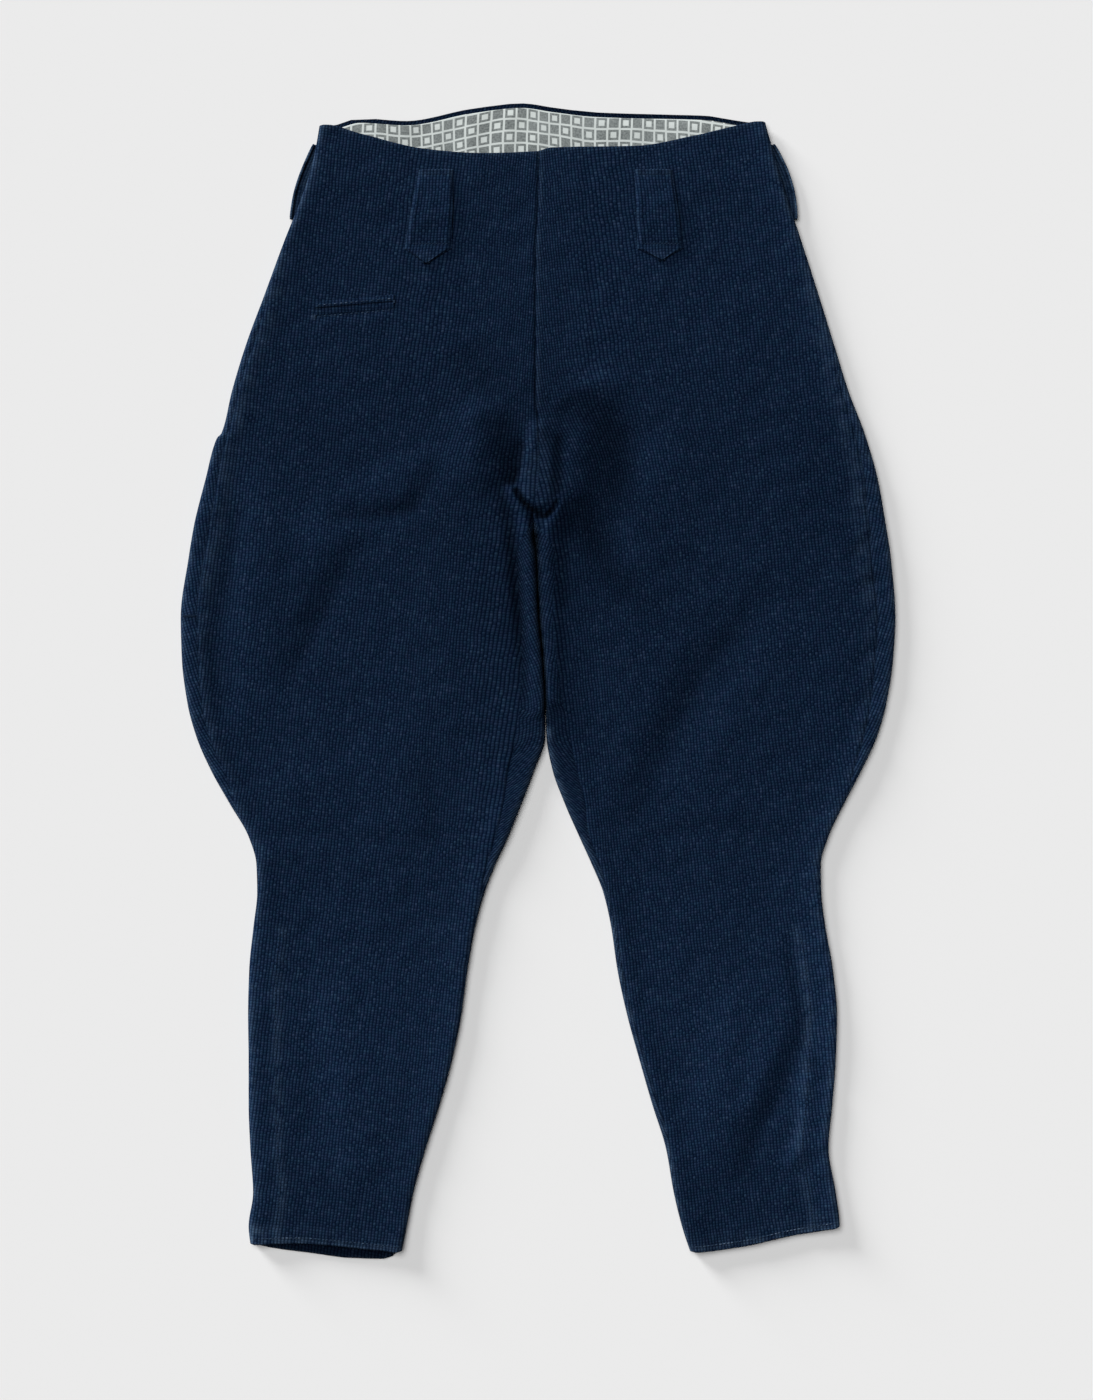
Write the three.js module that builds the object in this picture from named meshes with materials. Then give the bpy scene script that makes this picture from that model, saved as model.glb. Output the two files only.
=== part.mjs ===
// Riding breeches of thick indigo dobby cotton, laid flat on their back.
// Millimetres, +Z up. The waist points to +Y, the hems to -Y, and the wearer's right leg lies at -X.
// The origin is on the surface that the breeches lie on, under the middle of their outline.

import * as THREE from 'three';

// ---------------------------------------------------------------- driving sizes

const CLOTH = 1.8; // one thickness of the cloth
const HEM_CLOTH = 3; // the same where the hem is turned in
const FACING_CLOTH = 1.2; // the printed waist facing
const SEAM_GAP = 0.3; // between two pieces at a seam
const LEAST_MITRE = 0.6; // keeps a sharp corner's shift within bounds
const SLIT_GAP = 1; // between the two thighs below the fork
const SLIT_OPENS = 12; // how far below the fork that gap has its full width
const HEM_BAND = 20; // how far up the hem is turned

const WAIST_Y = 498; // nominal line of the waist, before its curve
const HEM_Y = -505; // nominal line of the hems, before their slant
const FORK_Y = 149; // where the legs part
const WAIST_REACH = 100; // how far down the waist's curve bends the grain
const HEM_REACH = 90;

const ROLL = 5; // how far in from an edge the cloth has turned from the floor to the top
const ROLL_MIDDLE = 4.5; // height of the outermost point of that turn
const EDGE_RISE = 2.8; // how much the folded edges stand above the flat
const EDGE_RISE_WIDTH = 20;
const LEAST_LOFT = 5.2; // the top never lies lower than this
const PLACKET = 28; // width of the strips along the side seams
const PLACKET_TOP_Y = -222;
const PLACKET_LIFT = 0.8; // the doubled cloth of the calf plackets
const POCKET_TOP_Y = 219; // ends of the side pocket in the right side seam
const POCKET_FOOT_Y = 57;

/** Rows of numbers under named columns. */
function table(columns, rows) {
  return rows.map((row) => Object.fromEntries(columns.map((name, index) => [name, row[index]])));
}

// One row for each section of a leg: its place along the leg, the outer edge and the inner edge as
// distances from the midline, and how far in from each edge the side seam and the inseam lie on top.
const LEG_COLUMNS = ['y', 'outer', 'outSeam', 'inSeam', 'inner'];
const RIGHT_LEG = table(LEG_COLUMNS, [
  [500, 196, 0, 0, 5],
  [470, 201.5, 0, 0, 5],
  [430, 214, 0, 0, 5],
  [400, 226, 0, 0, 5],
  [350, 244.5, 4, 0, 5],
  [300, 263, 7, 0, 5],
  [260, 275, 6, 0, 5],
  [222, 284.5, 6, 0, 5],
  [218, 288.5, 9, 0, 5],
  [180, 299, 11, 0, 5],
  [149, 307, 14, 0, 4.6],
  [140, 309, 14, 15, 4],
  [110, 314, 14, 18, 1.4],
  [57, 321, 15, 17, -1],
  [20, 320, 15, 19, -4.5],
  [-20, 315, 13, 23, -6.6],
  [-50, 307, 12, 26, -6.4],
  [-80, 294, 12, 23, 3.4],
  [-110, 277.2, 5, 16, 14.8],
  [-140, 260, 0, 11, 26.8],
  [-165, 253, 0, 7, 38.5],
  [-190, 252.3, 0, 3, 48.1],
  [-220, 255.5, 0, 0, 56.3],
  [-260, 259.5, 0, 0, 63.5],
  [-300, 260.5, 0, 0, 69],
  [-340, 260, 0, 0, 77.2],
  [-380, 260, 0, 0, 88.3],
  [-420, 258.5, 0, 0, 101],
  [-460, 256, 0, 0, 112.2],
  [-490, 260, 0, 0, 118],
  [-515, 257, 0, 0, 123],
]);
const LEFT_LEG = table(LEG_COLUMNS, [
  [500, 204.5, 0, 0, -5],
  [470, 213, 0, 0, -5],
  [430, 225, 0, 0, -5],
  [400, 235, 0, 0, -5],
  [350, 251, 0, 0, -5],
  [300, 266.5, 3, 0, -5],
  [260, 279, 6, 0, -5],
  [222, 293.5, 9, 0, -5],
  [180, 305.5, 12, 0, -5],
  [149, 311, 15, 0, -4.6],
  [140, 312.5, 15, 15, -4],
  [110, 317, 18, 17, -1.4],
  [57, 321, 16, 12, 1],
  [20, 319, 16, 12, 4.5],
  [-20, 313, 14, 16, 6.6],
  [-50, 304.5, 12, 21, 7.5],
  [-80, 290.6, 7, 22, 13],
  [-110, 275, 0, 18, 23.9],
  [-140, 260.8, 0, 9, 37.1],
  [-165, 254, 0, 7, 48.4],
  [-190, 254.5, 0, 4, 58.6],
  [-220, 258, 0, 4, 65.5],
  [-260, 265, 0, 5, 71.4],
  [-300, 268.6, 0, 5, 80],
  [-340, 267.5, 0, 6, 91],
  [-380, 264.5, 0, 6, 102.5],
  [-420, 261, 0, 4, 114.9],
  [-460, 267.5, 0, 2, 122],
  [-490, 271, 0, 2, 129.3],
  [-515, 271, 0, 2, 137.5],
]);

// The centre seams of the front and the back, down to the fork.
const MIDLINE = table(['y', 'x'], [
  [475, 1], [430, 0], [380, -2], [260, -2], [225, 0.5], [190, 1], [FORK_Y, -4.6],
]);

// The curved edges: the waist of the fronts and of the backs, and the hems, which hang lower behind.
const EDGE_COLUMNS = ['x', 'y'];
const WAIST_FRONT = table(EDGE_COLUMNS, [
  [-196, 498], [-188, 498], [-160, 491], [-100, 477], [-50, 473], [0, 475], [12, 478], [85, 479.5],
  [135, 488], [185, 499], [196, 501], [205, 501],
]);
const WAIST_BACK = table(EDGE_COLUMNS, [
  [-196, 498], [-188, 498], [-160, 505], [-120, 503], [-60, 514], [-15, 519], [15, 515], [50, 511],
  [150, 507.5], [196, 501], [205, 501],
]);
const HEM_FRONT = table(EDGE_COLUMNS, [
  [-256, -505], [-220, -504.5], [-142, -510.5], [-123, -512], [138, -512], [178, -508],
  [225, -498], [270, -490],
]);
const HEM_BACK = table(EDGE_COLUMNS, [
  [-256, -505], [-243, -508.5], [-203, -514], [-162, -518.5], [-134, -519], [-123, -512],
  [138, -512], [178, -508], [225, -498], [270, -490],
]);

// How high the cloth lies where nothing folds it.
const LOFT = table(['y', 'z'], [
  [520, 8.6], [450, 8.4], [400, 7], [300, 6.4], [200, 7], [80, 6.6], [-150, 6.4], [-450, 6.6],
  [-500, 8],
]);

// The largest folds: a straight run from a to b, how wide it is and how much it rises or sinks.
const FOLDS = table(['ax', 'ay', 'bx', 'by', 'width', 'rise'], [
  [2, 222, 2, 175, 15, 11], // the cloth pushed up at the foot of the fly
  [-18, 200, -17, 172, 9, -5], // hollows beside it
  [21, 205, 21, 160, 9, -4],
  [-53, 235, -60, 190, 17, 3.5], // the thigh folds that run away from it
  [-92, 190, -190, 130, 26, 2.5],
  [38, 220, 33, 175, 14, 3],
  [92, 195, 72, 110, 24, 3],
  [-12, 140, -8, 20, 11, 3.5], // rolls of the inner thighs beside the slit
  [12, 140, 14, 20, 11, 2.5],
  [236, 131, 74, -143, 16, -1.8], // long slack line over the left thigh
  [262, 118, 104, -150, 20, 3],
  [-250, 170, -262, -30, 18, 1.8],
  [-150, -70, -235, -95, 14, 2], // back of the right knee
  [-110, -130, -232, -150, 14, 2],
  [222, -345, 196, -430, 9, -1.3], // calf of the left leg
  [240, -370, 232, -430, 11, 3.5],
  [170, -300, 150, -420, 20, 1.6],
  [-190, -290, -170, -430, 20, 1.6],
]);

// ---------------------------------------------------------------- curves and heights

/** Value of one column at a place, smooth and without overshoot, from rows sorted either way. */
function along(rows, key, column, at) {
  const rising = rows[0][key] < rows[rows.length - 1][key];
  const sorted = rising ? rows : [...rows].reverse();
  const last = sorted.length - 1;
  if (at <= sorted[0][key]) return sorted[0][column];
  if (at >= sorted[last][key]) return sorted[last][column];
  const slope = (i) => (sorted[i + 1][column] - sorted[i][column]) / (sorted[i + 1][key] - sorted[i][key]);
  const tangent = (i) => {
    if (i === 0) return slope(0);
    if (i === last) return slope(last - 1);
    const product = slope(i - 1) * slope(i);
    return product <= 0 ? 0 : (2 * product) / (slope(i - 1) + slope(i));
  };
  let i = 0;
  while (at > sorted[i + 1][key]) i += 1;
  const run = sorted[i + 1][key] - sorted[i][key];
  const t = (at - sorted[i][key]) / run;
  const from = (1 + 2 * t) * (1 - t) ** 2 * sorted[i][column] + t * (1 - t) ** 2 * run * tangent(i);
  const to = t * t * (3 - 2 * t) * sorted[i + 1][column] + t * t * (t - 1) * run * tangent(i + 1);
  return from + to;
}

const midline = (y) => along(MIDLINE, 'y', 'x', y);
const bump = (distance, width) => Math.exp(-((distance / width) ** 2));

/** Distance in plan from a point to the straight run from a to b. */
function distanceToRun(x, y, { ax, ay, bx, by }) {
  const length2 = (bx - ax) ** 2 + (by - ay) ** 2;
  const t = THREE.MathUtils.clamp(((x - ax) * (bx - ax) + (y - ay) * (by - ay)) / length2, 0, 1);
  return Math.hypot(x - ax - t * (bx - ax), y - ay - t * (by - ay));
}

/** One leg with the half of the seat above it: its side is -1 for the right and +1 for the left. */
class Leg {
  constructor(side, rows) {
    this.side = side;
    this.rows = rows;
  }

  outer(y) {
    return this.side * along(this.rows, 'y', 'outer', y);
  }

  inner(y) {
    if (y >= FORK_Y) return midline(y);
    const opened = Math.min((FORK_Y - y) / SLIT_OPENS, 1);
    return this.side * (along(this.rows, 'y', 'inner', y) + (opened * SLIT_GAP) / 2);
  }

  outSeam(y) {
    return along(this.rows, 'y', 'outSeam', y);
  }

  inSeam(y) {
    return y >= FORK_Y ? 0 : along(this.rows, 'y', 'inSeam', y);
  }

  /** Distance in plan to the nearest folded edge of the leg. */
  toEdge(x, y) {
    const toOuter = Math.abs(x - this.outer(y));
    const toInner = y > FORK_Y ? Math.hypot(x - midline(FORK_Y), y - FORK_Y) : Math.abs(x - this.inner(y));
    return Math.min(toOuter, toInner);
  }

  /** 0 at a folded edge, 1 where the cloth has turned flat. */
  turned(x, y) {
    const left = 1 - Math.min(this.toEdge(x, y) / ROLL, 1);
    return Math.sqrt(1 - left * left);
  }

  /** Height of the upper face of the cloth on top. */
  top(x, y) {
    let loft = along(LOFT, 'y', 'z', y) + EDGE_RISE * bump(this.toEdge(x, y), EDGE_RISE_WIDTH);
    for (const fold of FOLDS) loft += fold.rise * bump(distanceToRun(x, y, fold), fold.width);
    const flat = Math.max(loft, LEAST_LOFT);
    return ROLL_MIDDLE + (flat - ROLL_MIDDLE) * this.turned(x, y);
  }

  /** Height of the face that lies on the floor, or on the belt loop that is trapped under it. */
  floor(x, y) {
    const turned = this.turned(x, y);
    return ROLL_MIDDLE * (1 - turned) + sideLoopLift(this, x, y) * turned;
  }
}

const RIGHT = new Leg(-1, RIGHT_LEG);
const LEFT = new Leg(1, LEFT_LEG);

// ---------------------------------------------------------------- belt loops at the sides

// Its ends along the seam, how far in it reaches, its cloth, how far out its ends and its middle lie, the
// height of its free edge, and how far the cloth over it is raised, level at first and then down again.
const SIDE_LOOP = {
  top: 482,
  foot: 415,
  width: 34,
  cloth: 2.1,
  root: 3,
  bow: 9,
  bowPower: 0.8,
  rim: 5.6,
  lift: 2.7,
  levelAcross: 8,
  easeAcross: 40,
  levelBelow: 3,
  easeBelow: 24,
};
const SIDE_LOOP_ROWS = 9;

// Its section, from the free edge inwards.
const SIDE_LOOP_SECTION = table(['in', 'z'], [
  [0, SIDE_LOOP.rim], [-0.2, SIDE_LOOP.rim / 2], [0.9, 0.7], [2.8, 0], [SIDE_LOOP.width / 2, 0],
  [SIDE_LOOP.width, 0],
]);

/** How far the cloth over a side loop is raised off the floor. */
function sideLoopLift(leg, x, y) {
  const inside = Math.abs(leg.outer(y) - x) - (SIDE_LOOP.width + SIDE_LOOP.levelAcross);
  const below = SIDE_LOOP.foot - SIDE_LOOP.levelBelow - y;
  const away = Math.max(inside / SIDE_LOOP.easeAcross, below / SIDE_LOOP.easeBelow, 0);
  return SIDE_LOOP.lift * Math.max(1 - away, 0);
}

// ---------------------------------------------------------------- the skin of the garment

// Rows from the waist to the hem, closer where the shape turns faster.
const ROWS = [
  WAIST_Y, 484, 462, 436, 410, 384, 355, 325, 295, 265, 240, 222, 218, 205, 192, 180, 169, 160, 154,
  150.5, FORK_Y, 143, 130, 110, 84, 57, 30, 4, -20, -38, -52, -66, -80, -95, -110, -125, -142, -165,
  -190, PLACKET_TOP_Y, -250, -280, -310, -340, -370, -400, -430, -460, -488, HEM_Y,
];
const TURN = ROLL * (1 - Math.SQRT1_2); // an eighth of the way round an edge
const STRIP = [0, TURN, ROLL, 14]; // distances in from an edge
const MIDDLE_STEPS = 6; // across the top, between the two strips
const FLOOR_STRIP = 50;

/** Points with shared numbers, their faces in plan order, and smooth normals. */
class Skin {
  constructor() {
    this.points = [];
    this.cloth = [];
    this.index = new Map();
    this.faces = [];
  }

  point(position, cloth = CLOTH) {
    const key = position.toArray().map((value) => Math.round(value * 1000)).join();
    if (!this.index.has(key)) {
      this.index.set(key, this.points.length);
      this.points.push(position);
      this.cloth.push(cloth);
    }
    return this.index.get(key);
  }

  /** Two faces for each cell of a grid of point numbers. Cells drawn in to a point lose a face. */
  grid(rows, flip, pieceOf) {
    for (let i = 0; i + 1 < rows.length; i += 1) {
      for (let j = 0; j + 1 < rows[i].length; j += 1) {
        const [a, b, c, d] = [rows[i][j], rows[i + 1][j], rows[i + 1][j + 1], rows[i][j + 1]];
        for (const face of [[a, b, c], [a, c, d]]) {
          if (new Set(face).size === 3) {
            this.faces.push({ corners: flip ? face.reverse() : face, piece: pieceOf(i, j) });
          }
        }
      }
    }
  }

  faceNormal([a, b, c]) {
    const [p, q, r] = [this.points[a], this.points[b], this.points[c]];
    return new THREE.Vector3().subVectors(q, p).cross(new THREE.Vector3().subVectors(r, p));
  }

  /** Normals of the whole skin, so that two pieces that meet at a seam turn the same way. */
  smooth() {
    this.normals = this.points.map(() => new THREE.Vector3());
    for (const { corners } of this.faces) {
      const [a, b, c] = corners;
      const normal = this.faceNormal(corners).normalize();
      for (const [at, next, other] of [[a, b, c], [b, c, a], [c, a, b]]) {
        const one = new THREE.Vector3().subVectors(this.points[next], this.points[at]);
        const two = new THREE.Vector3().subVectors(this.points[other], this.points[at]);
        this.normals[at].addScaledVector(normal, one.angleTo(two));
      }
    }
    this.normals.forEach((normal) => normal.normalize());
  }
}

/** Row at a nominal place, bent to the curve of the waist or the hem at this distance across. */
function bentRow(y, x, waist, hem) {
  const nearWaist = THREE.MathUtils.clamp(1 - (WAIST_Y - y) / WAIST_REACH, 0, 1);
  const nearHem = THREE.MathUtils.clamp(1 - (y - HEM_Y) / HEM_REACH, 0, 1);
  const atWaist = (along(waist, 'x', 'y', x) - WAIST_Y) * nearWaist;
  const atHem = (along(hem, 'x', 'y', x) - HEM_Y) * nearHem;
  return y + atWaist + atHem;
}

const clothAt = (y) => (y < HEM_Y + HEM_BAND ? HEM_CLOTH : CLOTH);

/** Points across the front at one row, from the side seam to the centre seam or the inseam. */
function frontRow(leg, row) {
  const places = [
    ...STRIP.map((d) => (y) => leg.outer(y) - leg.side * Math.max(d, leg.outSeam(y))),
    (y) => leg.outer(y) - leg.side * PLACKET,
    ...[...Array(MIDDLE_STEPS - 1).keys()].map((k) => (y) => {
      const from = leg.outer(y) - leg.side * PLACKET;
      const to = leg.inner(y) + leg.side * PLACKET;
      return from + ((to - from) * (k + 1)) / MIDDLE_STEPS;
    }),
    (y) => leg.inner(y) + leg.side * PLACKET,
    ...[...STRIP].reverse().map((d) => (y) => leg.inner(y) + leg.side * Math.max(d, leg.inSeam(y))),
  ];
  return places.map((place) => {
    const y = bentRow(row, place(row), WAIST_FRONT, HEM_FRONT);
    const x = place(y);
    return { position: new THREE.Vector3(x, y, leg.top(x, y)), cloth: clothAt(row) };
  });
}

/** Points across the back at one row, from the side seam round both edges to the inseam. */
function backRow(leg, row) {
  const half = (y) => (leg.outer(y) + leg.inner(y)) / 2;
  const quarter = (y) => (half(y) + leg.inner(y)) / 2;
  const above = row > FORK_Y;
  const places = [
    (y) => leg.outer(y) - leg.side * leg.outSeam(y),
    ...[...STRIP].reverse().map((d) => (y) => leg.outer(y) - leg.side * Math.min(d, leg.outSeam(y))),
  ].map((place) => ({ place, face: 'top' }));
  const floor = [
    (y) => leg.outer(y) - leg.side * TURN,
    (y) => leg.outer(y) - leg.side * ROLL,
    (y) => leg.outer(y) - leg.side * FLOOR_STRIP,
    half,
    quarter,
    (y) => leg.inner(y) + leg.side * ROLL,
    (y) => leg.inner(y) + leg.side * TURN,
  ].map((place) => ({ place, face: 'floor' }));
  const inner = [...STRIP, Infinity].map((d) => ({
    place: (y) => leg.inner(y) + leg.side * Math.min(d, leg.inSeam(y)),
    face: above ? 'floor' : 'top',
  }));
  return [...places, ...floor, ...inner].map(({ place, face }) => {
    const y = bentRow(row, place(row), WAIST_BACK, HEM_BACK);
    const x = place(y);
    return { position: new THREE.Vector3(x, y, leg[face](x, y)), cloth: clothAt(row) };
  });
}

/** The four panels, the side pocket's band and the calf plackets, as one skin. */
function garmentSkin() {
  const skin = new Skin();
  const number = ({ position, cloth }) => skin.point(position, cloth);
  for (const leg of [RIGHT, LEFT]) {
    const name = leg === RIGHT ? 'right' : 'left';
    const fronts = ROWS.map((row) => frontRow(leg, row).map(number));
    skin.grid(fronts, leg === LEFT, (i, j) => {
      const placket = ROWS[i] <= PLACKET_TOP_Y && j < STRIP.length;
      return placket ? `calf_placket_${name}` : `front_${name}`;
    });
    const backs = ROWS.map((row) => backRow(leg, row).map(number));
    skin.grid(backs, leg === RIGHT, (i, j) => {
      const inPocket = ROWS[i] <= POCKET_TOP_Y && ROWS[i] > POCKET_FOOT_Y;
      return leg === RIGHT && inPocket && j < STRIP.length ? 'side_pocket_right' : `back_${name}`;
    });
  }
  skin.smooth();
  return skin;
}

// ---------------------------------------------------------------- walls of cloth

/** Inward shift, within the cloth, of each point on the border of a set of faces. */
function borderShifts(skin, faces) {
  const edges = new Map();
  for (const face of faces) {
    for (let k = 0; k < 3; k += 1) {
      const [from, to] = [face[k], face[(k + 1) % 3]];
      if (edges.has(`${to},${from}`)) edges.delete(`${to},${from}`);
      else edges.set(`${from},${to}`, { from, to, normal: skin.faceNormal(face).normalize() });
    }
  }
  const inward = new Map();
  for (const { from, to, normal } of edges.values()) {
    const run = new THREE.Vector3().subVectors(skin.points[to], skin.points[from]).normalize();
    const inside = new THREE.Vector3().crossVectors(normal, run).normalize();
    for (const end of [from, to]) inward.set(end, [...(inward.get(end) ?? []), inside]);
  }
  const shifts = new Map();
  for (const [end, sides] of inward) {
    const sum = sides.reduce((total, side) => total.add(side), new THREE.Vector3());
    const mitre = Math.max(sum.lengthSq() / sides.length, LEAST_MITRE);
    shifts.set(end, sum.multiplyScalar(SEAM_GAP / 2 / mitre));
  }
  return { edges: [...edges.values()], shifts };
}

/** Closed wall over a set of faces: the outer face lifted, the inner one a thickness below it. */
function wall(skin, faces, lift = 0) {
  const { edges, shifts } = borderShifts(skin, faces);
  const used = [...new Set(faces.flat())];
  const place = new Map(used.map((point, index) => [point, index]));
  const outer = used.map((point) => {
    const moved = skin.points[point].clone().addScaledVector(skin.normals[point], lift);
    return shifts.has(point) ? moved.add(shifts.get(point)) : moved;
  });
  const inner = outer.map((point, index) => {
    const depth = skin.cloth[used[index]] + lift;
    return point.clone().addScaledVector(skin.normals[used[index]], -depth);
  });
  const below = (point) => place.get(point) + used.length;
  const triangles = [
    ...faces.map((face) => face.map((point) => place.get(point))),
    ...faces.map((face) => face.map(below).reverse()),
    ...edges.flatMap(({ from, to }) => (from < to
      ? [[place.get(to), place.get(from), below(to)], [place.get(from), below(from), below(to)]]
      : [[place.get(to), place.get(from), below(from)], [place.get(to), below(from), below(to)]])),
  ];
  return solid([...outer, ...inner], triangles);
}

function solid(points, triangles) {
  const geometry = new THREE.BufferGeometry();
  geometry.setAttribute('position', new THREE.Float32BufferAttribute(points.flatMap((p) => p.toArray()), 3));
  geometry.setIndex(triangles.flat());
  geometry.computeVertexNormals();
  return geometry;
}

/** Wall over a grid of points given by a function of row and column. */
function gridWall(rowCount, columnCount, pointAt, cloth, flip = false) {
  const skin = new Skin();
  const rows = [...Array(rowCount).keys()].map((i) => (
    [...Array(columnCount).keys()].map((j) => skin.point(pointAt(i, j), cloth))
  ));
  skin.grid(rows, flip, () => 'piece');
  skin.smooth();
  return wall(skin, skin.faces.map((face) => face.corners));
}

// ---------------------------------------------------------------- pieces that lie on a panel

const TINY = 1e-6; // for faces that stand on edge, and for places on a face's border

/** Height of the faceted panel's upper face at a place, so that what lies on it stays clear. */
function heightOn(skin, pieces, x, y) {
  let height = -Infinity;
  for (const { corners, piece } of skin.faces) {
    if (!pieces.includes(piece)) continue;
    const [a, b, c] = corners.map((corner) => skin.points[corner]);
    const area = (b.x - a.x) * (c.y - a.y) - (c.x - a.x) * (b.y - a.y);
    if (Math.abs(area) < TINY) continue;
    const u = ((b.x - x) * (c.y - y) - (c.x - x) * (b.y - y)) / area;
    const v = ((c.x - x) * (a.y - y) - (a.x - x) * (c.y - y)) / area;
    const w = 1 - u - v;
    if (Math.min(u, v, w) < -TINY) continue;
    height = Math.max(height, u * a.z + v * b.z + w * c.z);
  }
  return height;
}

const CLEAR = 0.45; // between a panel and what lies on it

// Belt loops on the fronts: the middle of their top, of their shoulders and of their point.
const LOOP_COLUMNS = ['x', 'y', 'width'];
const FRONT_LOOPS = {
  right: table(LOOP_COLUMNS, [[-91.5, 458, 30], [-95, 423, 37], [-98.5, 388, 42], [-100.5, 375, 3]]),
  left: table(LOOP_COLUMNS, [[103.5, 458, 33], [107, 423, 37], [110, 388, 41], [111, 378, 3]]),
};
const LOOP_CLOTH = 2.6;
const LOOP_BOW = 3; // how far a loop stands off the front between its sewn ends
const LOOP_ROWS = 9;

/** A wide belt loop that ends in a point, bowed off the panel between its two ends. */
function frontLoop(skin, panel, rows) {
  const [top, , shoulder, tip] = rows;
  const places = [...Array(LOOP_ROWS).keys()].map((i) => top.y + ((shoulder.y - top.y) * i) / (LOOP_ROWS - 1));
  places.push(tip.y);
  const across = [-1, -0.5, 0, 0.5, 1];
  return gridWall(places.length, across.length, (i, j) => {
    const y = places[i];
    const x = along(rows, 'y', 'x', y) + (across[j] * along(rows, 'y', 'width', y)) / 2;
    const t = (top.y - y) / (top.y - shoulder.y);
    const stand = LOOP_BOW * Math.sin(Math.PI * THREE.MathUtils.clamp(t, 0, 1)) ** 2;
    return new THREE.Vector3(x, y, heightOn(skin, [panel], x, y) + CLEAR + stand + LOOP_CLOTH);
  }, LOOP_CLOTH);
}

/** A belt loop at the side, trapped under the back, with its free edge bowed out past the body. */
function sideLoop(leg) {
  const { top, foot, cloth, root, bow, bowPower } = SIDE_LOOP;
  return gridWall(SIDE_LOOP_ROWS, SIDE_LOOP_SECTION.length, (i, j) => {
    const t = i / (SIDE_LOOP_ROWS - 1);
    const y = top + (foot - top) * t;
    const out = leg.outer(y) + leg.side * (root + (bow - root) * Math.sin(Math.PI * t) ** bowPower);
    return new THREE.Vector3(out - leg.side * SIDE_LOOP_SECTION[j].in, y, SIDE_LOOP_SECTION[j].z);
  }, cloth, leg === RIGHT);
}

// The jetted pocket on the right front: ends of its mouth and the size of its two lips.
const POCKET = {
  outerX: -200, outerY: 334, innerX: -129, innerY: 340.5, lip: 7, cloth: 1.3, mouth: 0.5, swell: 0.5, steps: 9,
};

/** One lip of the jetted pocket, above (+1) or below (-1) its mouth. */
function pocketLip(skin, panel, upDown) {
  const { outerX, outerY, innerX, innerY, lip, cloth, mouth, steps } = POCKET;
  return gridWall(3, steps, (i, j) => {
    const t = j / (steps - 1);
    const x = outerX + (innerX - outerX) * t;
    const mouthY = outerY + (innerY - outerY) * t;
    const offset = upDown > 0 ? lip * (1 - i / 2) : -lip * (i / 2);
    const y = mouthY + offset + (upDown * mouth) / 2;
    const swell = i === 1 ? POCKET.swell : 0;
    return new THREE.Vector3(x, y, heightOn(skin, [panel], x, y) + CLEAR + cloth + swell);
  }, cloth);
}

const FACING = { belowEdge: 3, foot: 452, side: 7.5, base: CLOTH + 0.35, rows: 3, columns: 15, ahead: 0.1 };

/** The printed facing that lies inside the back at the waist. */
function waistFacing() {
  return gridWall(FACING.rows, FACING.columns, (i, j) => {
    const t = j / (FACING.columns - 1);
    const span = (y) => {
      const from = RIGHT.outer(y) + FACING.side;
      const to = LEFT.outer(y) - FACING.side;
      return from + (to - from) * t;
    };
    const top = along(WAIST_BACK, 'x', 'y', span(WAIST_Y)) - FACING.belowEdge;
    const y = top + ((FACING.foot - top) * i) / (FACING.rows - 1);
    const x = span(y);
    const leg = x < midline(y) ? RIGHT : LEFT;
    return new THREE.Vector3(x, y, FACING.base + FACING_CLOTH + facingLift(leg, x, y));
  }, FACING_CLOTH);
}

/** How far the facing is raised where the back under it rises over a side loop. */
function facingLift(leg, x, y) {
  const half = (leg.outer(y) + leg.inner(y)) / 2;
  const run = Math.abs(leg.outer(y) - half) - FLOOR_STRIP;
  return SIDE_LOOP.lift * THREE.MathUtils.clamp((leg.side * (x - half)) / run + FACING.ahead, 0, 1);
}

// ---------------------------------------------------------------- materials and assembly

const COLOURS = {
  cloth: 0x1d2744,
  bias: 0x222d4b,
  band: 0x263251,
  facing: 0xb9bdb4,
};

function cloth(colour, roughness = 0.92) {
  return new THREE.MeshStandardMaterial({ color: colour, roughness, metalness: 0 });
}

const breeches = new THREE.Group();

function add(name, geometry, colour) {
  const mesh = new THREE.Mesh(geometry, cloth(colour));
  mesh.name = name;
  breeches.add(mesh);
}

const skin = garmentSkin();
const facesOf = (name) => skin.faces.filter((face) => face.piece === name).map((face) => face.corners);

for (const name of ['right', 'left']) {
  add(`front_${name}`, wall(skin, facesOf(`front_${name}`)), COLOURS.cloth);
  add(`back_${name}`, wall(skin, facesOf(`back_${name}`)), COLOURS.bias);
  add(`calf_placket_${name}`, wall(skin, facesOf(`calf_placket_${name}`), PLACKET_LIFT), COLOURS.band);
  add(`belt_loop_front_${name}`, frontLoop(skin, `front_${name}`, FRONT_LOOPS[name]), COLOURS.band);
}
add('side_pocket_right', wall(skin, facesOf('side_pocket_right')), COLOURS.band);
add('belt_loop_side_right', sideLoop(RIGHT), COLOURS.band);
add('belt_loop_side_left', sideLoop(LEFT), COLOURS.band);
add('welt_upper', pocketLip(skin, 'front_right', 1), COLOURS.band);
add('welt_lower', pocketLip(skin, 'front_right', -1), COLOURS.band);
add('waist_facing', waistFacing(), COLOURS.facing);

// The outline is centred over the origin.
const middle = new THREE.Box3().setFromObject(breeches).getCenter(new THREE.Vector3());
breeches.children.forEach((mesh) => mesh.position.set(-middle.x, -middle.y, 0));

export default breeches;
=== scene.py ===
"""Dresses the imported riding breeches: cloth panels, seams, stitches, printed facing and studio.

The tables hold millimetres, the meshes metres. X runs to the wearer's left leg, Y from the hems to
the waist, and Z up from the surface that the breeches lie on.
"""

import logging
import math
from dataclasses import dataclass, field, replace
from enum import Enum
from typing import Callable

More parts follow.
